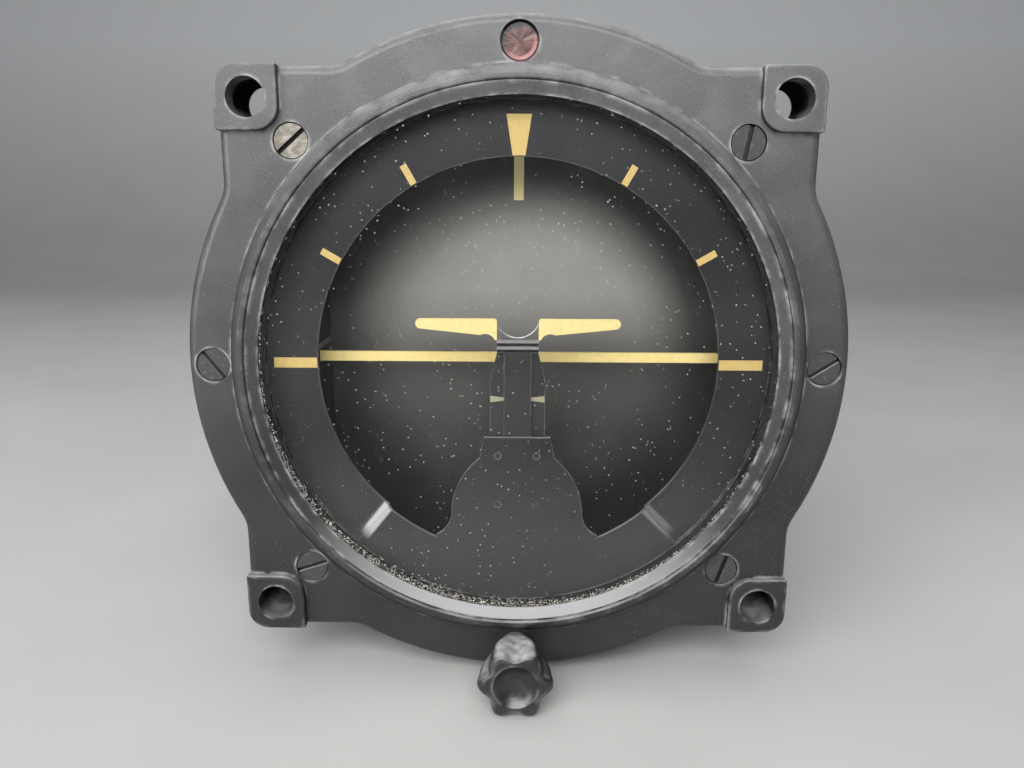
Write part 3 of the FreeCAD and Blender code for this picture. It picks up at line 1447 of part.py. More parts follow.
def make_housing_cover():
    """Lid of the rotor housing with the upper rotor bearing."""
    plate = rod_z(housing_r, housing_top_z, cover_top_z, 0, gyro_y)
    plate = plate.makeFillet(cover_plate_edge_r, level_circles(plate, cover_top_z))
    hub = rod_z(housing_hub_r, housing_top_z, cover_top_z + housing_hub_height, 0, gyro_y)
    cover = fused([plate, hub])
    ribs = []
    for turn in range(4):
        rib_end_x = housing_r - housing_rim_height
        rib = block(housing_hub_r - 1, rib_end_x, -1, 1, cover_top_z - 0.5, cover_top_z + housing_rib_height)
        ribs.append(moved(spun(rib, 45 + 90 * turn, axis=(0, 0, 1)), 0, gyro_y, 0))
    cover = fused([cover] + ribs)
    shaft_bore = rod_z(rotor_shaft_r + running_play, 0, cover_top_z + 2, 0, gyro_y)
    return cover.cut(fused([shaft_bore, housing_screw_holes(housing_top_z - 1, cover_top_z + 1)]))


def housing_screw_places():
    r = housing_r - housing_rim_width / 2
    return [polar(r, 30 + 60 * turn) for turn in range(6)]


def housing_screw_holes(z0, z1):
    holes = [rod_z(housing_screw_r, z0, z1, x, gyro_y + y) for x, y in housing_screw_places()]
    return Part.makeCompound(holes)


def make_housing_screws():
    screws = []
    length = cover_plate + housing_rim_height - 1
    for number, (x, y) in enumerate(housing_screw_places()):
        screw = slotted_screw(housing_screw_head_r, housing_screw_head, housing_screw_r,
                              length, 30 * number, housing_screw_slot, housing_screw_slot)
        screw = spun(screw, -90, axis=(1, 0, 0))
        screws.append(moved(screw, x, gyro_y + y, cover_top_z + housing_screw_head))
    return Part.makeCompound(screws)


def make_erection_housing():
    """Turned block under the rotor housing with four air ports."""
    z1 = housing_bottom_z
    z0 = erection_bottom_z
    body = rod_z(erection_r, z0, z1, 0, gyro_y)
    body = body.makeFillet(erection_edge_r, level_circles(body, z0))
    flange = rod_z(erection_r + erection_flange, z1 - 2, z1, 0, gyro_y)
    body = fused([body, flange])
    cuts = [rod_x(vane_pin_r + running_play, -20, 20, gyro_y, z1 - cross_vane_drop)]
    cuts.append(rod(vane_pin_r + running_play, gyro_y - 20, gyro_y + 20, 0, z1 - fore_aft_vane_drop))
    port = erection_port_half
    for turn in range(4):
        drop = cross_vane_drop if turn % 2 == 0 else fore_aft_vane_drop
        z = z1 - drop - erection_port_drop
        slot = block(erection_r - 3, erection_r + 2, -port, port, z - 1.0, z + 1.0)
        cuts.append(moved(spun(slot, 90 * turn, axis=(0, 0, 1)), 0, gyro_y, 0))
    return body.cut(fused(cuts))


def make_vane_pair(drop, along_y):
    """Two pendulous vanes on one pin through the erection housing."""
    z = housing_bottom_z - drop
    x0 = erection_r + vane_gap
    x1 = x0 + vane_thickness
    low = z - vane_length
    pin_x = x1 + vane_pin_end
    pieces = [rod_x(vane_pin_r, -pin_x, pin_x, 0, z)]
    for side in (-1, 1):
        start = min(side * x0, side * x1)
        hub = rod_x(vane_hub_r, start, start + vane_thickness, 0, z)
        flag = block(start, start + vane_thickness, -vane_half_width, vane_pin_end, low, z)
        pieces.append(hub)
        pieces.append(flag)
    pair = fused(pieces)
    if along_y:
        pair = spun(pair, 90, axis=(0, 0, 1))
    return moved(pair, 0, gyro_y, 0)


def make_rotor():
    """Heavy-rimmed rotor with buckets that the air jets drive."""
    half = rotor_half_height
    web = rotor_web_half
    rim_in = rotor_r - rotor_rim
    web_r = rim_in - rotor_rim_slope
    hub = web + rotor_hub_rise
    low = -half - rotor_shaft_low
    high = half + rotor_shaft_high
    profile = [(0, low), (rotor_shaft_r, low), (rotor_shaft_r, -hub), (rotor_hub_r, -hub)]
    profile += [(rotor_hub_r, -web), (web_r, -web), (rim_in, -half), (rotor_r, -half), (rotor_r, half)]
    profile += [(rim_in, half), (web_r, web), (rotor_hub_r, web), (rotor_hub_r, hub)]
    profile += [(rotor_shaft_r, hub), (rotor_shaft_r, high), (0, high)]
    corners = [vec(r, 0, z) for r, z in profile]
    face = Part.Face(Part.makePolygon(corners + [corners[0]]))
    rotor = face.revolve(vec(0, 0, 0), vec(0, 0, 1), 360)
    buckets = []
    for i in range(bucket_count):
        angle = 360 * i / bucket_count
        x, y = polar(rotor_r + bucket_r - bucket_depth, angle)
        buckets.append(rod_z(bucket_r, -bucket_half_height, bucket_half_height, x, y))
    rotor = rotor.cut(Part.makeCompound(buckets))
    return moved(rotor, 0, gyro_y, 0)


def build_parts():
    return {
        "front_bezel": make_front_bezel(),
        "retaining_ring": make_retaining_ring(),
        "cover_glass": make_cover_glass(),
        "glass_gasket": make_glass_gasket(),
        "dial_mask": make_dial_mask(),
        "dial_markings": make_dial_markings(),
        "mask_screws": make_mask_screws(),
        "guide_studs": make_guide_studs(),
        "airplane_tower": make_airplane_tower(),
        "index_marks": make_index_marks(),
        "bezel_screws": make_bezel_screws(),
        "seal_screw": make_seal_screw(),
        "seal_lacquer": make_seal_lacquer(),
        "knob_bushing": make_knob_bushing(),
        "idler_stud": make_idler_stud(),
        "case_gasket": make_case_gasket(),
        "case_body": make_case_body(),
        "bearing_bracket": make_bearing_bracket(),
        "bracket_screws": make_bracket_screws(),
        "front_race": make_front_race(),
        "rear_race": make_rear_race(),
        "rear_cover": make_rear_cover(),
        "cover_gasket": make_cover_gasket(),
        "cover_screws": make_cover_screws(),
        "filter_pad": make_filter_pad(),
        "filter_screen": make_filter_screen(),
        "snap_ring": make_snap_ring(),
        "vacuum_nipple": make_vacuum_nipple(),
        "port_plug": make_port_plug(),
        "adjusting_knob": make_adjusting_knob(),
        "knob_set_screw": make_knob_set_screw(),
        "knob_shaft": make_knob_shaft(),
        "idler_gear": make_idler_gear(),
        "airplane_slider": make_airplane_slider(),
        "slider_rack": make_slider_rack(),
        "airplane_wings": make_airplane_wings(),
        "fuselage_wire": make_fuselage_wire(),
        "gimbal_frame": make_gimbal_frame(),
        "front_trunnion": make_front_trunnion(),
        "rear_trunnion": make_rear_trunnion(),
        "sky_plate": make_sky_plate(),
        "bank_pointer": make_bank_pointer(),
        "pitch_races": make_pitch_races(),
        "bar_pivot_pin": make_bar_pivot_pin(),
        "balance_weight": make_balance_weight(),
        "horizon_arm": make_horizon_arm(),
        "horizon_bar": make_horizon_bar(),
        "arm_counterweight": make_arm_counterweight(),
        "rotor_housing": make_rotor_housing(),
        "housing_cover": make_housing_cover(),
        "housing_screws": make_housing_screws(),
        "pitch_pivots": make_pitch_pivots(),
        "guide_pin": make_guide_pin(),
        "erection_housing": make_erection_housing(),
        "cross_vanes": make_vane_pair(cross_vane_drop, False),
        "fore_aft_vanes": make_vane_pair(fore_aft_vane_drop, True),
        "rotor": make_rotor(),
    }


os.makedirs("parts", exist_ok=True)
for node, shape in build_parts().items():
    shape.exportStep("parts/" + node + ".step")
    print(node, len(shape.Solids), "solids", round(shape.Volume, 1), "mm3", shape.isValid())
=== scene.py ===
import bpy
import math
import random
from mathutils import Matrix, Vector


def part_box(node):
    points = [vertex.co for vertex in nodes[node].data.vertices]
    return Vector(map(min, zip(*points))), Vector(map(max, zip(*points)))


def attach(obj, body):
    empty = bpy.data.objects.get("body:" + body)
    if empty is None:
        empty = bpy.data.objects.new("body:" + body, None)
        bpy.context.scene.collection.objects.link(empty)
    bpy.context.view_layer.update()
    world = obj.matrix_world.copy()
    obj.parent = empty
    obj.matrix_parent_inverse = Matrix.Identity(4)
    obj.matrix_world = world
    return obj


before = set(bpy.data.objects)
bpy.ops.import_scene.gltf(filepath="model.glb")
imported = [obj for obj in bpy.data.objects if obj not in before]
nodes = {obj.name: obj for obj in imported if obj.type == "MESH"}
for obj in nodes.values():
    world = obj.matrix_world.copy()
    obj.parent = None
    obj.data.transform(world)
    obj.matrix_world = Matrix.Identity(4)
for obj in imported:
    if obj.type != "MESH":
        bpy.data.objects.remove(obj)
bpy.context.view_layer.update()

# Lengths and places are in metres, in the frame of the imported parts

# Camera, as fitted to the photograph, with angles in degrees
IMAGE_WIDTH = 1024
FOCAL_PIXELS = 782.8
SENSOR_WIDTH_MM = 36.0
CLIP_START = 0.005
CAMERA_PLACE = (0.00021, -0.14732, 0.02810)
CAMERA_PITCH_DOWN = 11.95
CAMERA_YAW = -0.49
CAMERA_ROLL = 0.30

# Lamps: name, place, target, width, height, watts, colour
WHITE = (1, 1, 1)
WARM_WHITE = (1.0, 0.985, 0.96)
LAMPS = (
    ("ceiling", (0.0, 0.10, 0.80), (0, 0.05, 0), 1.0, 1.0, 3.4, WHITE),
    ("front_key", (-0.10, -0.59, 0.47), (0, 0, 0.01), 0.80, 0.34, 6.2, WARM_WHITE),
    ("low_strip", (-0.16, -0.62, 0.26), (0, 0, 0.03), 0.90, 0.14, 1.5, WHITE),
    ("side_fill", (-0.62, -0.50, 0.16), (0, 0, 0), 0.30, 0.40, 2.2, WHITE),
)
WORLD_COLOUR = (0.60, 0.61, 0.63, 1)
WORLD_STRENGTH = 0.36

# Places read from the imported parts
glass_low, glass_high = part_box("cover_glass")
bezel_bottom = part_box("front_bezel")[0].z
knob_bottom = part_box("adjusting_knob")[0].z
screw_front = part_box("bezel_screws")[0].y
seal_low, seal_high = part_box("seal_screw")
lacquer_low, lacquer_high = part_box("seal_lacquer")
GLASS_R = (glass_high.x - glass_low.x) / 2
GROOVE_R = GLASS_R - 0.0024
SEAL_Z = (seal_low.z + seal_high.z) / 2
SEAL_R = (lacquer_high.x - lacquer_low.x) / 2
SCREW_DIAGONAL = SEAL_Z * math.sqrt(0.5)
SCREW_REACH = 0.006

# Directions that dust, painted sheen and painted highlights pick out
UP = (0, 0, 1)
UP_AND_LEFT = (-0.15, 0, 1)
FRONT_AND_UP = (0, -1, 0.3)
# Normal of the ring's lower slope, which gets a painted highlight
RING_SLOPE = (0, -0.91, 0.42)

# Heights and depths between which finishes, painted sheen and painted shade change
# Enamel: painted sheen, paler from the first height up to the second
ENAMEL_DARK_Z, ENAMEL_PALE_Z = -0.022, 0.056
BORE_LIT_Y, BORE_DARK_Y = 0.0015, 0.004
# Shield and lower mask: painted sheen, paler from the first height down to the second
SHIELD_TOP_Z, SHIELD_PALE_Z = -0.014, -0.036
# Sky disc: painted light from above over this half height, and painted shadow of the mask from
# this radius
SKY_HALF_HEIGHT = 0.040
SKY_R = 0.042
# Screw slots: dirt and painted shade, darker from the first depth to the second
SLOT_DIRT_AND_SHADE_START_Y, SLOT_DIRT_AND_SHADE_FULL_Y = screw_front + 0.00015, screw_front + 0.00045
WALL_PALE_Z = 0.35

# The two painted highlight bands on the mask, where its slopes catch the light: centre,
# direction across, colour
BAND_HALF_WIDTH = 0.00125
BAND_REACH = 0.012
MASK_R = 0.05
MASK_HIGHLIGHT_BANDS = (
    ((-0.0289, 0, -0.0328), (0.779, 0, -0.627), (0.45, 0.45, 0.445)),
    ((0.0289, 0, -0.0323), (0.703, 0, 0.711), (0.15, 0.15, 0.15)),
)

# Greys of paint, dust and wear, and of painted sheen and painted highlights
MID_GREY = (0.5, 0.5, 0.5, 1)
BLACK_ENAMEL = ((0.010, 0.0105, 0.0115), (0.020, 0.0205, 0.022))
GRAIN_AND_SHEEN_GREY = (0.24, 0.24, 0.25)
FILM_AND_SHEEN_GREY = (0.26, 0.26, 0.25)
DUST_AND_SHEEN_GREY = (0.46, 0.46, 0.45)
EDGE_WEAR_AND_HIGHLIGHT_GREY = (0.50, 0.50, 0.51)
SLOPE_HIGHLIGHT_GREY = (0.27, 0.27, 0.28)
CRUMB_GREY = (0.78, 0.78, 0.76)
SHIELD_SHEEN_GREY = (0.050, 0.051, 0.054)

# Backdrop: a flat floor that curves up into a wall
FLOOR_GAP = 0.0002
FLOOR_NEAR, FLOOR_FAR = -1.2, 0.9
FLOOR_HALF_WIDTH = 2.2
CURVE_R = 0.5
CURVE_STEPS = 8
WALL_TOP = 2.2

# Grit in the groove round the glass, sparse at the top and dense at the bottom
GRIT_SEED = 7
GRIT_TRIES = 6500
GRIT_TURN = 0.35
GRIT_AT_TOP, GRIT_AT_BOTTOM = 0.02, 0.98
GRAIN_MIN, GRAIN_MAX, GRAIN_MAX_EXTRA = 0.00004, 0.00011, 0.00006
GRIT_SPREAD, GRIT_SPREAD_EXTRA = 0.0001, 0.0008
GRAIN_RISE = 0.4
GRAIN_SHAPE = (0.6, 1.3)
OCTAHEDRON_CORNERS = ((1, 0, 0), (-1, 0, 0), (0, 1, 0), (0, -1, 0), (0, 0, 1), (0, 0, -1))
OCTAHEDRON_FACES = ((0, 2, 4), (0, 4, 3), (0, 3, 5), (0, 5, 2),
                    (4, 2, 1), (3, 4, 1), (5, 3, 1), (2, 5, 1))


def add_camera():
    data = bpy.data.cameras.new("camera")
    data.sensor_width = SENSOR_WIDTH_MM
    data.lens = FOCAL_PIXELS * SENSOR_WIDTH_MM / IMAGE_WIDTH
    data.clip_start = CLIP_START
    camera = bpy.data.objects.new("camera", data)
    bpy.context.collection.objects.link(camera)
    pitch = math.radians(CAMERA_PITCH_DOWN)
    yaw = math.radians(CAMERA_YAW)
    roll = math.radians(CAMERA_ROLL)
    forward = Vector((math.sin(yaw) * math.cos(pitch),
                      math.cos(yaw) * math.cos(pitch),
                      -math.sin(pitch)))
    level_right = Vector((math.cos(yaw), -math.sin(yaw), 0))
    level_up = level_right.cross(forward)
    right = level_right * math.cos(roll) + level_up * math.sin(roll)
    up = level_up * math.cos(roll) - level_right * math.sin(roll)
    turn = Matrix((right, up, -forward)).transposed().to_4x4()
    camera.matrix_world = Matrix.Translation(Vector(CAMERA_PLACE)) @ turn
    bpy.context.scene.camera = camera


def add_area_light(name, place, target, width, height, watts, colour):
    data = bpy.data.lights.new(name, "AREA")
    data.shape = "RECTANGLE"
    data.size = width
    data.size_y = height
    data.energy = watts
    data.color = colour
    light = bpy.data.objects.new(name, data)
    bpy.context.collection.objects.link(light)
    light.location = place
    aim = Vector(target) - Vector(place)
    light.rotation_euler = aim.to_track_quat("-Z", "Y").to_euler()


def add_lights():
    for lamp in LAMPS:
        add_area_light(*lamp)
    world = bpy.data.worlds.new("studio")
    bpy.context.scene.world = world
    world.use_nodes = True
    background = world.node_tree.nodes["Background"]
    background.inputs["Color"].default_value = WORLD_COLOUR
    background.inputs["Strength"].default_value = WORLD_STRENGTH


class Shader:
    """One material, with short calls for the nodes that the finishes share.

    A value is a number, a colour or vector, or the socket of another node.
    """

    def __init__(self, name, metallic=0.0, roughness=0.5):
        self.material = bpy.data.materials.new(name)
        self.material.use_nodes = True
        self.tree = self.material.node_tree
        self.bsdf = self.tree.nodes["Principled BSDF"]
        self.feed("Metallic", metallic)
        self.feed("Roughness", roughness)
        self.feed("Base Color", MID_GREY)
        self.place = self.node("ShaderNodeTexCoord").outputs["Object"]

    def node(self, kind, **settings):
        made = self.tree.nodes.new(kind)
        for key, value in settings.items():
            setattr(made, key, value)
        return made

    def put(self, value, socket):
        if isinstance(value, bpy.types.NodeSocket):
            self.tree.links.new(value, socket)
        else:
            socket.default_value = value

    def feed(self, name, value):
        """Sets an input of the surface."""
        self.put(value, self.bsdf.inputs[name])

    def noise(self, scale, detail, roughness=0.55, vector=None):
        made = self.node("ShaderNodeTexNoise")
        made.inputs["Scale"].default_value = scale
        made.inputs["Detail"].default_value = detail
        made.inputs["Roughness"].default_value = roughness
        self.put(self.place if vector is None else vector, made.inputs["Vector"])
        return made.outputs["Fac"]

    def specks(self, scale, size):
        """1 on small round specks, 0 elsewhere."""
        made = self.node("ShaderNodeTexVoronoi")
        made.inputs["Scale"].default_value = scale
        self.put(self.place, made.inputs["Vector"])
        return self.ramp(made.outputs["Distance"], (0.0, 1.0), (size, 0.0))

    def ramp(self, value, *stops):
        """Grey ramp through (position, level) stops."""
        made = self.node("ShaderNodeValToRGB")
        line = made.color_ramp
        while len(line.elements) < len(stops):
            line.elements.new(0.5)
        for element, (position, level) in zip(line.elements, stops):
            element.position = position
            element.color = (level, level, level, 1)
        self.put(value, made.inputs["Fac"])
        return made.outputs["Color"]

    def patches(self, scale, detail, *stops):
        """Noise, sent through a ramp."""
        return self.ramp(self.noise(scale, detail), *stops)

    def math(self, operation, a, b):
        made = self.node("ShaderNodeMath", operation=operation)
        self.put(a, made.inputs[0])
        self.put(b, made.inputs[1])
        return made.outputs[0]

    def times(self, a, b):
        return self.math("MULTIPLY", a, b)

    def vector_math(self, operation, a, b=None):
        made = self.node("ShaderNodeVectorMath", operation=operation)
        self.put(a, made.inputs[0])
        if b is not None:
            self.put(b, made.inputs[1])
        is_number = operation in ("DOT_PRODUCT", "LENGTH", "DISTANCE")
        return made.outputs["Value" if is_number else "Vector"]

    def mix(self, factor, low, high, blend="MIX"):
        """Colour between low and high."""
        made = self.node("ShaderNodeMix", data_type="RGBA", blend_type=blend)
        self.put(factor, made.inputs["Factor"])
        for value, socket in ((low, made.inputs[6]), (high, made.inputs[7])):
            self.put((*value, 1) if isinstance(value, tuple) else value, socket)
        return made.outputs[2]

    def spread(self, value, low, high):
        """0 where value is low and 1 where it is high."""
        made = self.node("ShaderNodeMapRange")
        made.inputs["From Min"].default_value = low
        made.inputs["From Max"].default_value = high
        self.put(value, made.inputs["Value"])
        return made.outputs["Result"]

    def along(self, axis, low, high):
        """0 at place low on an axis and 1 at place high."""
        axes = self.node("ShaderNodeSeparateXYZ")
        self.put(self.place, axes.inputs["Vector"])
        return self.spread(axes.outputs[axis], low, high)

    def radial(self, centre, scale):
        """Distance from a line along Y through centre, over scale."""
        away = self.vector_math("SUBTRACT", self.place, centre)
        flat = self.vector_math("MULTIPLY", away, (1 / scale, 0, 1 / scale))
        return self.vector_math("LENGTH", flat)

    def outward(self, height):
        """Direction away from a line along Y at a height on the Z axis."""
        away = self.vector_math("SUBTRACT", self.place, (0, 0, height))
        return self.vector_math("NORMALIZE", self.vector_math("MULTIPLY", away, (1, 0, 1)))

    def near(self, point, radius):
        """1 within radius of a point, 0 outside it."""
        away = self.vector_math("DISTANCE", self.place, point)
        return self.math("LESS_THAN", away, radius)

    def facing(self, direction, low, high):
        """0 where the surface's normal is low along a direction, 1 where it is high."""
        normal = self.node("ShaderNodeNewGeometry").outputs["Normal"]
        along = self.vector_math("DOT_PRODUCT", normal, Vector(direction).normalized())
        return self.spread(along, low, high)

    def band(self, centre, across):
        """1 on a band through centre, 0 beside it, past its reach and at the mask's rim."""
        away = self.vector_math("SUBTRACT", self.place, centre)
        aside = self.math("ABSOLUTE", self.vector_math("DOT_PRODUCT", away, across), 0.0)
        line = self.ramp(self.math("DIVIDE", aside, BAND_HALF_WIDTH), (0.65, 1.0), (0.98, 0.0))
        inside = self.ramp(self.radial((0, 0, 0), MASK_R), (0.91, 1.0), (0.955, 0.0))
        close = self.math("LESS_THAN", self.vector_math("LENGTH", away), BAND_REACH)
        return self.times(self.times(line, inside), close)

    def worn_and_highlit_edges(self, radius, amount, cover):
        """Up to amount on edges, from the bevelled normal, broken up by noise from cover up."""
        bevel = self.node("ShaderNodeBevel", samples=4)
        bevel.inputs["Radius"].default_value = radius
        normal = self.node("ShaderNodeNewGeometry").outputs["Normal"]
        flatness = self.vector_math("DOT_PRODUCT", bevel.outputs["Normal"], normal)
        edge = self.ramp(flatness, (0.80, 1.0), (0.985, 0.0))
        return self.times(edge, self.patches(260, 5, (cover, 0.0), (cover + 0.18, amount)))

    def bump(self, height, distance, strength):
        made = self.node("ShaderNodeBump")
        made.inputs["Distance"].default_value = distance
        made.inputs["Strength"].default_value = strength
        self.put(height, made.inputs["Height"])
        self.feed("Normal", made.outputs["Normal"])


def dimmed(colour, share):
    return tuple(channel * share for channel in colour)


def dress(material, *names):
    for name in names:
        for place in nodes[name].material_slots:
            place.material = material


def enamel(name, dark, light, gloss, wear, dust=0.5, painted_slope_highlight=False):
    """Semi-matt black enamel on a casting, with dust, handling and worn edges; painted sheen
    makes it paler towards the top and on faces turned up, its edges also carry a painted
    highlight, and the ring's lower slope can get a painted highlight.
    """
    s = Shader(name)
    base = s.mix(s.patches(45, 6, (0.35, 0.0), (0.70, 1.0)), dark, light)
    # Painted sheen: grain and film show more towards the top and on faces turned to the front
    # and up
    cover = s.math("ADD", s.times(s.along("Z", ENAMEL_DARK_Z, ENAMEL_PALE_Z), 0.46), 0.01)
    cover = s.times(cover, s.facing(FRONT_AND_UP, 0.35, 0.80))
    grain = s.patches(3800, 3, (0.30, 0.35), (0.75, 1.0))
    base = s.mix(s.times(grain, cover), base, GRAIN_AND_SHEEN_GREY)
    film = s.patches(120, 5, (0.45, 0.0), (0.80, dust))
    base = s.mix(s.times(film, cover), base, FILM_AND_SHEEN_GREY)
    # Dust and painted sheen on faces turned up
    dust_and_sheen = s.times(s.facing(UP, 0.30, 0.85), s.patches(300, 5, (0.30, 0.25), (0.65, 1.0)))
    base = s.mix(s.times(dust_and_sheen, dust), base, DUST_AND_SHEEN_GREY)
    # Worn edges, partly a painted highlight
    base = s.mix(s.worn_and_highlit_edges(0.0011, wear, 0.44), base, EDGE_WEAR_AND_HIGHLIGHT_GREY)
    # Painted highlight on the ring's lower slope
    if painted_slope_highlight:
        base = s.mix(s.facing(RING_SLOPE, 0.93, 0.995), base, SLOPE_HIGHLIGHT_GREY)
    crumbs = s.times(s.specks(1500, 0.13), s.patches(70, 3, (0.42, 0.15), (0.62, 1.0)))
    s.feed("Base Color", s.mix(s.times(crumbs, dust), base, CRUMB_GREY))
    in_bore = s.along("Y", BORE_LIT_Y, BORE_DARK_Y)
    s.feed("Specular IOR Level", s.times(s.math("SUBTRACT", 1.0, in_bore), 0.60))
    s.feed("Roughness", s.patches(160, 4, (0.30, gloss), (0.80, gloss + 0.10)))
    relief = s.math("ADD", s.noise(2400, 2), s.times(s.noise(420, 3), 1.6))
    s.bump(relief, 0.00005, 0.35)
    return s.material


def metal(name, colour, roughness, dirt):
    """Bare machined metal with a fine grain and grime."""
    s = Shader(name, metallic=1.0)
    grain = s.noise(900, 3)
    shade = s.mix(s.ramp(grain, (0.35, 0.0), (0.65, 1.0)), dimmed(colour, 0.82), colour)
    grime = s.patches(180, 5, (0.45, 0.0), (0.75, dirt))
    s.feed("Base Color", s.mix(grime, shade, dimmed(colour, 0.25)))
    s.feed("Roughness", s.patches(300, 4, (0.30, roughness), (0.75, roughness + 0.18)))
    s.bump(grain, 0.00002, 0.4)
    return s.material


def cast_metal(name, colour):
    """Raw casting: grainy, matt and slightly stained."""
    s = Shader(name, metallic=0.85)
    grain = s.noise(1400, 4)
    stain = s.patches(60, 5, (0.40, 0.0), (0.75, 0.5))
    s.feed("Base Color", s.mix(stain, colour, dimmed(colour, 0.55)))
    s.feed("Roughness", s.ramp(grain, (0.30, 0.42), (0.75, 0.62)))
    s.bump(grain, 0.00008, 0.6)
    return s.material


def dial_paint(name, dark, light, roughness, highlight_bands=()):
    """Satin dial paint with a little dust, edges worn and painted as highlights, painted sheen
    on faces turned up and towards the bottom of the shield, and painted highlight bands.
    """
    s = Shader(name)
    base = s.mix(s.patches(70, 5, (0.35, 0.0), (0.70, 1.0)), dark, light)
    # Painted sheen: paler towards the bottom of the shield
    base = s.mix(s.times(s.along("Z", SHIELD_TOP_Z, SHIELD_PALE_Z), 0.8), base, SHIELD_SHEEN_GREY)
    dust = s.times(s.specks(520, 0.06), s.patches(35, 2, (0.45, 0.0), (0.60, 1.0)))
    base = s.mix(s.times(dust, 0.4), base, (0.5, 0.5, 0.48))
    # Dust and painted sheen on faces turned up
    base = s.mix(s.times(s.facing(UP, 0.45, 0.80), 0.8), base, (0.30, 0.30, 0.31))
    # Worn edges, partly a painted edge highlight
    base = s.mix(s.worn_and_highlit_edges(0.00022, 0.8, 0.34), base, (0.30, 0.30, 0.305))
    # Painted highlight bands where the mask's slopes catch the light
    for centre, across, band_highlight in highlight_bands:
        base = s.mix(s.band(centre, across), base, band_highlight)
    s.feed("Base Color", base)
    s.feed("Specular IOR Level", 0.35)
    s.feed("Roughness", s.patches(900, 3, (0.30, roughness), (0.75, roughness + 0.10)))
    s.bump(s.noise(3000, 2), 0.000004, 0.12)
    return s.material


def sky_paint():
    """Background disc: painted light from above, lighter towards the top and dark below the
    bar, and painted shadow of the mask towards the rim.
    """
    s = Shader("sky_paint", roughness=0.55)
    # Painted light from above: lighter towards the top, dark below the bar
    height = s.ramp(s.along("Z", -SKY_HALF_HEIGHT, SKY_HALF_HEIGHT),
                    (0.0, 0.020), (0.28, 0.027), (0.46, 0.060),
                    (0.52, 0.110), (0.66, 0.235), (1.0, 0.250))
    # Painted shadow of the mask towards the rim
    rim = s.ramp(s.radial((0, 0, 0), SKY_R),
                 (0.62, 1.0), (0.75, 0.66), (0.83, 0.40), (0.90, 0.16), (1.0, 0.12))
    tone = s.mix(1.0, height, rim, "MULTIPLY")
    tone = s.mix(1.0, tone, s.patches(40, 5, (0.35, 0.86), (0.70, 1.0)), "MULTIPLY")
    s.feed("Base Color", s.mix(1.0, tone, (1.03, 0.99, 0.93), "MULTIPLY"))
    s.bump(s.noise(2600, 2), 0.000004, 0.12)
    return s.material


def luminous_paint(name, fresh, aged):
    """Thick cream luminous paint, browned at its thin spots."""
    s = Shader(name, roughness=0.6)
    stain = s.patches(900, 5, (0.50, 0.0), (0.78, 1.0))
    s.feed("Base Color", s.mix(s.times(stain, 0.5), fresh, aged))
    s.bump(s.noise(2400, 3), 0.00004, 0.5)
    return s.material


def clear_glass():
    """Thin window glass with fine dust on its front."""
    s = Shader("clear_glass")
    clear = s.node("ShaderNodeBsdfTransparent")
    clear.inputs["Color"].default_value = (0.985, 0.99, 0.99, 1)
    gloss = s.node("ShaderNodeBsdfGlossy")
    gloss.inputs["Roughness"].default_value = 0.03
    fresnel = s.node("ShaderNodeFresnel")
    fresnel.inputs["IOR"].default_value = 1.18
    dust = s.node("ShaderNodeBsdfDiffuse")
    dust.inputs["Color"].default_value = (0.66, 0.66, 0.62, 1)
    pane = s.node("ShaderNodeMixShader")
    s.put(fresnel.outputs[0], pane.inputs["Fac"])
    s.put(clear.outputs[0], pane.inputs[1])
    s.put(gloss.outputs[0], pane.inputs[2])
    film = s.patches(55, 5, (0.40, 0.001), (0.80, 0.008))
    specks = s.times(s.specks(640, 0.13), s.patches(40, 2, (0.40, 0.25), (0.62, 1.0)))
    covered = s.node("ShaderNodeMixShader")
    s.put(s.math("MAXIMUM", specks, film), covered.inputs["Fac"])
    s.put(pane.outputs[0], covered.inputs[1])
    s.put(dust.outputs[0], covered.inputs[2])
    s.put(covered.outputs[0], s.tree.nodes["Material Output"].inputs["Surface"])
    s.tree.nodes.remove(s.bsdf)
    return s.material


def knob_plastic():
    """Glossy black moulded plastic with grease, dust, a painted sheen on faces turned up and to
    the left, and edges worn and painted as highlights.
    """
    s = Shader("knob_plastic")
    haze = s.patches(350, 5, (0.45, 0.0), (0.75, 1.0))
    base = s.mix(haze, (0.008, 0.008, 0.009), (0.026, 0.027, 0.029))
    # Dust and painted sheen on faces turned up and to the left
    dust_and_sheen = s.patches(600, 5, (0.30, 0.35), (0.65, 1.0))
    dust_and_sheen = s.times(s.facing(UP_AND_LEFT, 0.55, 0.97), dust_and_sheen)
    base = s.mix(dust_and_sheen, base, (0.42, 0.42, 0.44))
    # Worn edges, partly a painted highlight
    s.feed("Base Color", s.mix(s.worn_and_highlit_edges(0.0013, 0.8, 0.40), base, (0.38, 0.38, 0.40)))
    s.feed("Roughness", s.patches(420, 4, (0.30, 0.26), (0.75, 0.42)))
    s.feed("Specular IOR Level", 0.6)
    s.feed("Coat Weight", 0.25)
    s.feed("Coat Roughness", 0.22)
    s.bump(s.noise(600, 4), 0.00018, 0.6)
    return s.material


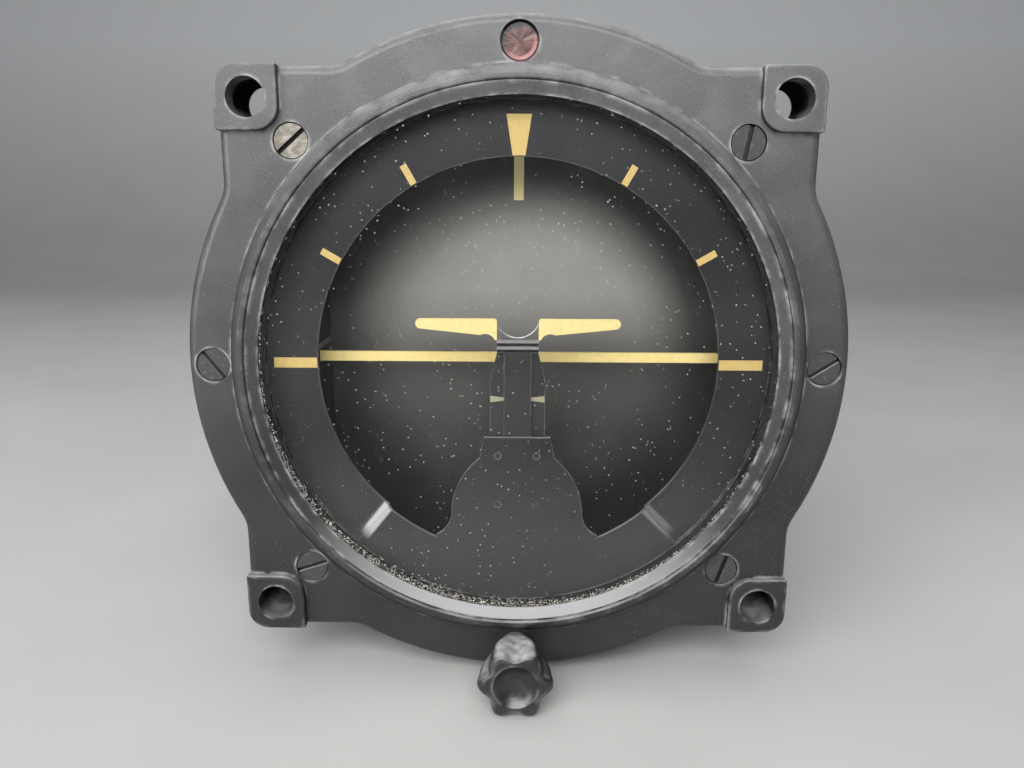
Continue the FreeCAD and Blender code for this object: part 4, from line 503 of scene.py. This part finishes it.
def screw_paint():
    """Screws painted over with the bezel, except one that is bare metal; dirt and painted shade
    darken the slots, and dust and a painted highlight lighten faces turned up.
    """
    s = Shader("screw_paint")
    bare = s.near((-SCREW_DIAGONAL, screw_front, SCREW_DIAGONAL), SCREW_REACH)
    chip = s.patches(1500, 5, (0.56, 0.0), (0.70, 0.4))
    painted = s.mix(chip, (0.040, 0.041, 0.044), (0.17, 0.165, 0.16))
    tarnish = s.patches(900, 4, (0.38, 0.0), (0.66, 1.0))
    tarnished = s.mix(tarnish, (0.16, 0.145, 0.12), (0.32, 0.30, 0.26))
    face = s.mix(bare, painted, tarnished)
    # Dirt and painted shade in the slots
    face = s.mix(s.along("Y", SLOT_DIRT_AND_SHADE_START_Y, SLOT_DIRT_AND_SHADE_FULL_Y), face, (0.006, 0.006, 0.006))
    # Dust and painted highlight on faces turned up
    s.feed("Base Color", s.mix(s.facing(UP, 0.45, 0.65), face, (0.34, 0.34, 0.33)))
    s.feed("Metallic", s.times(bare, 0.55))
    s.feed("Roughness", s.patches(600, 4, (0.30, 0.40), (0.75, 0.58)))
    s.bump(s.noise(1200, 4), 0.00006, 0.6)
    return s.material


def lacquer():
    """Dark red sealing lacquer, drawn into radial creases as it dried, with a painted highlight
    on its rim at the lower right and a painted shade crescent at the upper left.
    """
    s = Shader("lacquer", roughness=0.30)
    rays = s.noise(1.5, 3, 0.5, s.outward(SEAL_Z))
    crease = s.math("ADD", rays, s.times(s.noise(700, 4), 0.5))
    tone = s.ramp(crease, (0.62, 0.0), (0.92, 1.0))
    base = s.mix(tone, (0.050, 0.012, 0.012), (0.150, 0.056, 0.048))
    # Painted highlight on the rim at the lower right
    highlight_ring = s.ramp(s.radial((0, 0, SEAL_Z), SEAL_R),
                  (0.66, 0.0), (0.78, 1.0), (0.90, 0.6), (0.97, 0.0))
    lower_right = Vector((0.5, 0, -1)).normalized()
    lit = s.vector_math("DOT_PRODUCT", s.outward(SEAL_Z), lower_right)
    lit = s.ramp(lit, (0.0, 0.0), (0.9, 1.0))
    base = s.mix(s.times(highlight_ring, lit), base, (0.46, 0.22, 0.22))
    # Painted shade: a dark crescent at the upper left, where the recess wall shades it
    lit_centre = (SEAL_R * 0.10, 0, SEAL_Z - SEAL_R * 0.26)
    shade_crescent = s.ramp(s.radial(lit_centre, SEAL_R), (0.90, 0.0), (0.99, 0.92))
    s.feed("Base Color", s.mix(shade_crescent, base, (0.012, 0.006, 0.006)))
    s.feed("Coat Weight", 0.15)
    s.bump(crease, 0.0003, 0.7)
    return s.material


def plain_matter(name, dark, light, roughness, grain_scale):
    """Rubber, fibre or felt: two tones and a soft grain."""
    s = Shader(name, roughness=roughness)
    grain = s.noise(grain_scale, 5)
    s.feed("Base Color", s.mix(s.ramp(grain, (0.35, 0.0), (0.70, 1.0)), dark, light))
    s.bump(grain, 0.0001, 0.7)
    return s.material


def dress_nodes():
    dress(enamel("casting_enamel", *BLACK_ENAMEL, 0.36, wear=0.8), "front_bezel")
    rim = enamel("rim_enamel", *BLACK_ENAMEL, 0.30, wear=0.9, dust=0.7, painted_slope_highlight=True)
    dress(rim, "retaining_ring")
    rear = enamel("case_enamel", (0.032, 0.033, 0.035), (0.056, 0.057, 0.061), 0.45, wear=0.5)
    dress(rear, "case_body", "rear_cover")
    dress(clear_glass(), "cover_glass")

    mask = dial_paint("dial_black", (0.009, 0.0095, 0.0105), (0.015, 0.016, 0.018), 0.44,
                      MASK_HIGHLIGHT_BANDS)
    dress(mask, "dial_mask")
    tower = dial_paint("tower_black", (0.016, 0.0165, 0.0165), (0.024, 0.025, 0.025), 0.45)
    dress(tower, "airplane_tower", "airplane_slider", "horizon_arm", "guide_studs")
    dress(sky_paint(), "sky_plate")

    for name, fresh, aged, node in (
            ("mark_cream", (0.60, 0.425, 0.145), (0.41, 0.26, 0.073), "dial_markings"),
            ("index_cream", (0.33, 0.30, 0.21), (0.24, 0.21, 0.14), "index_marks"),
            # The pointer's cream is paler than the other cream paint, as painted light against
            # the mask's shadow
            ("pointer_cream", (1.0, 0.86, 0.42), (0.90, 0.66, 0.30), "bank_pointer"),
            ("bar_cream", (0.81, 0.64, 0.25), (0.66, 0.46, 0.145), "horizon_bar"),
            ("wing_cream", (0.79, 0.64, 0.28), (0.66, 0.48, 0.17), "airplane_wings")):
        dress(luminous_paint(name, fresh, aged), node)

    dress(screw_paint(), "bezel_screws", "seal_screw")
    dress(lacquer(), "seal_lacquer")
    dress(knob_plastic(), "adjusting_knob")

    blackened = metal("blackened_steel", (0.14, 0.14, 0.145), 0.42, 0.5)
    dress(blackened, "cover_screws", "bracket_screws", "mask_screws", "port_plug",
          "knob_set_screw")
    steel = metal("ground_steel", (0.56, 0.56, 0.58), 0.28, 0.25)
    dress(steel, "idler_stud", "front_race", "rear_race", "pitch_races", "snap_ring",
          "knob_shaft", "front_trunnion", "rear_trunnion", "bar_pivot_pin", "pitch_pivots",
          "guide_pin", "housing_screws", "cross_vanes", "fore_aft_vanes", "fuselage_wire")
    brass = metal("dull_brass", (0.58, 0.42, 0.17), 0.34, 0.45)
    dress(brass, "knob_bushing", "idler_gear", "slider_rack", "vacuum_nipple",
          "filter_screen", "balance_weight", "arm_counterweight", "rotor")
    casting = cast_metal("raw_casting", (0.55, 0.55, 0.56))
    dress(casting, "gimbal_frame", "bearing_bracket", "rotor_housing", "housing_cover",
          "erection_housing")

    rubber = plain_matter("gasket_rubber", (0.015, 0.015, 0.015), (0.035, 0.035, 0.034),
                          0.75, 500)
    dress(rubber, "glass_gasket")
    fibre = plain_matter("gasket_fibre", (0.09, 0.06, 0.035), (0.17, 0.12, 0.07), 0.8, 900)
    dress(fibre, "case_gasket", "cover_gasket")
    felt = plain_matter("filter_felt", (0.26, 0.25, 0.22), (0.42, 0.40, 0.36), 0.95, 700)
    dress(felt, "filter_pad")


def add_mesh(name, corners, faces, material):
    mesh = bpy.data.meshes.new(name)
    mesh.from_pydata(corners, [], faces)
    mesh.materials.append(material)
    made = bpy.data.objects.new(name, mesh)
    bpy.context.collection.objects.link(made)
    return made


def floor_paint():
    """Pale matt floor, paler still up the wall."""
    s = Shader("floor", roughness=0.9)
    cloud = s.patches(12, 4, (0.35, 0.0), (0.65, 1.0))
    tone = s.mix(cloud, (0.445, 0.445, 0.44), (0.475, 0.475, 0.47))
    s.feed("Base Color", s.mix(s.along("Z", 0.0, WALL_PALE_Z), tone, (0.74, 0.76, 0.78)))
    return s.material


def add_floor():
    """Pale sweep: flat under the object and rising far behind it."""
    floor_z = min(knob_bottom, bezel_bottom) - FLOOR_GAP
    profile = [(FLOOR_NEAR, 0.0), (FLOOR_FAR, 0.0)]
    for step in range(1, CURVE_STEPS + 1):
        angle = math.radians(90 * step / CURVE_STEPS)
        profile.append((FLOOR_FAR + CURVE_R * math.sin(angle), CURVE_R * (1 - math.cos(angle))))
    profile.append((FLOOR_FAR + CURVE_R, WALL_TOP))
    corners = []
    faces = []
    for number, (y, z) in enumerate(profile):
        corners.append((-FLOOR_HALF_WIDTH, y, floor_z + z))
        corners.append((FLOOR_HALF_WIDTH, y, floor_z + z))
        if number:
            faces.append((2 * number - 2, 2 * number - 1, 2 * number + 1, 2 * number))
    floor = add_mesh("floor", corners, faces, floor_paint())
    for polygon in floor.data.polygons:
        polygon.use_smooth = True


def grit_matter():
    """Grains from brown to near white."""
    s = Shader("grit", roughness=0.9)
    shade = s.patches(900, 3, (0.40, 0.0), (0.62, 1.0))
    s.feed("Base Color", s.mix(shade, (0.30, 0.28, 0.24), (0.64, 0.63, 0.58)))
    return s.material


def add_groove_grit():
    """Grit packed into the groove round the glass, thickest at the bottom."""
    random.seed(GRIT_SEED)
    corners = []
    faces = []
    for _ in range(GRIT_TRIES):
        angle = random.uniform(0, 2 * math.pi)
        low = 0.5 - 0.5 * math.sin(angle + GRIT_TURN)
        if random.random() > GRIT_AT_TOP + GRIT_AT_BOTTOM * low ** 4:
            continue
        size = random.uniform(GRAIN_MIN, GRAIN_MAX + GRAIN_MAX_EXTRA * low)
        r = GROOVE_R - abs(random.gauss(0, GRIT_SPREAD + GRIT_SPREAD_EXTRA * low ** 6))
        y = glass_low.y - size * GRAIN_RISE
        centre = Vector((r * math.cos(angle), y, r * math.sin(angle)))
        first = len(corners)
        for corner in OCTAHEDRON_CORNERS:
            corners.append(centre + Vector(corner) * size * random.uniform(*GRAIN_SHAPE))
        for face in OCTAHEDRON_FACES:
            faces.append([first + corner for corner in face])
    grit = add_mesh("groove_grit", corners, faces, grit_matter())
    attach(grit, "instrument")


add_camera()
add_lights()
add_floor()
dress_nodes()
add_groove_grit()
bpy.context.scene.view_settings.view_transform = "Standard"
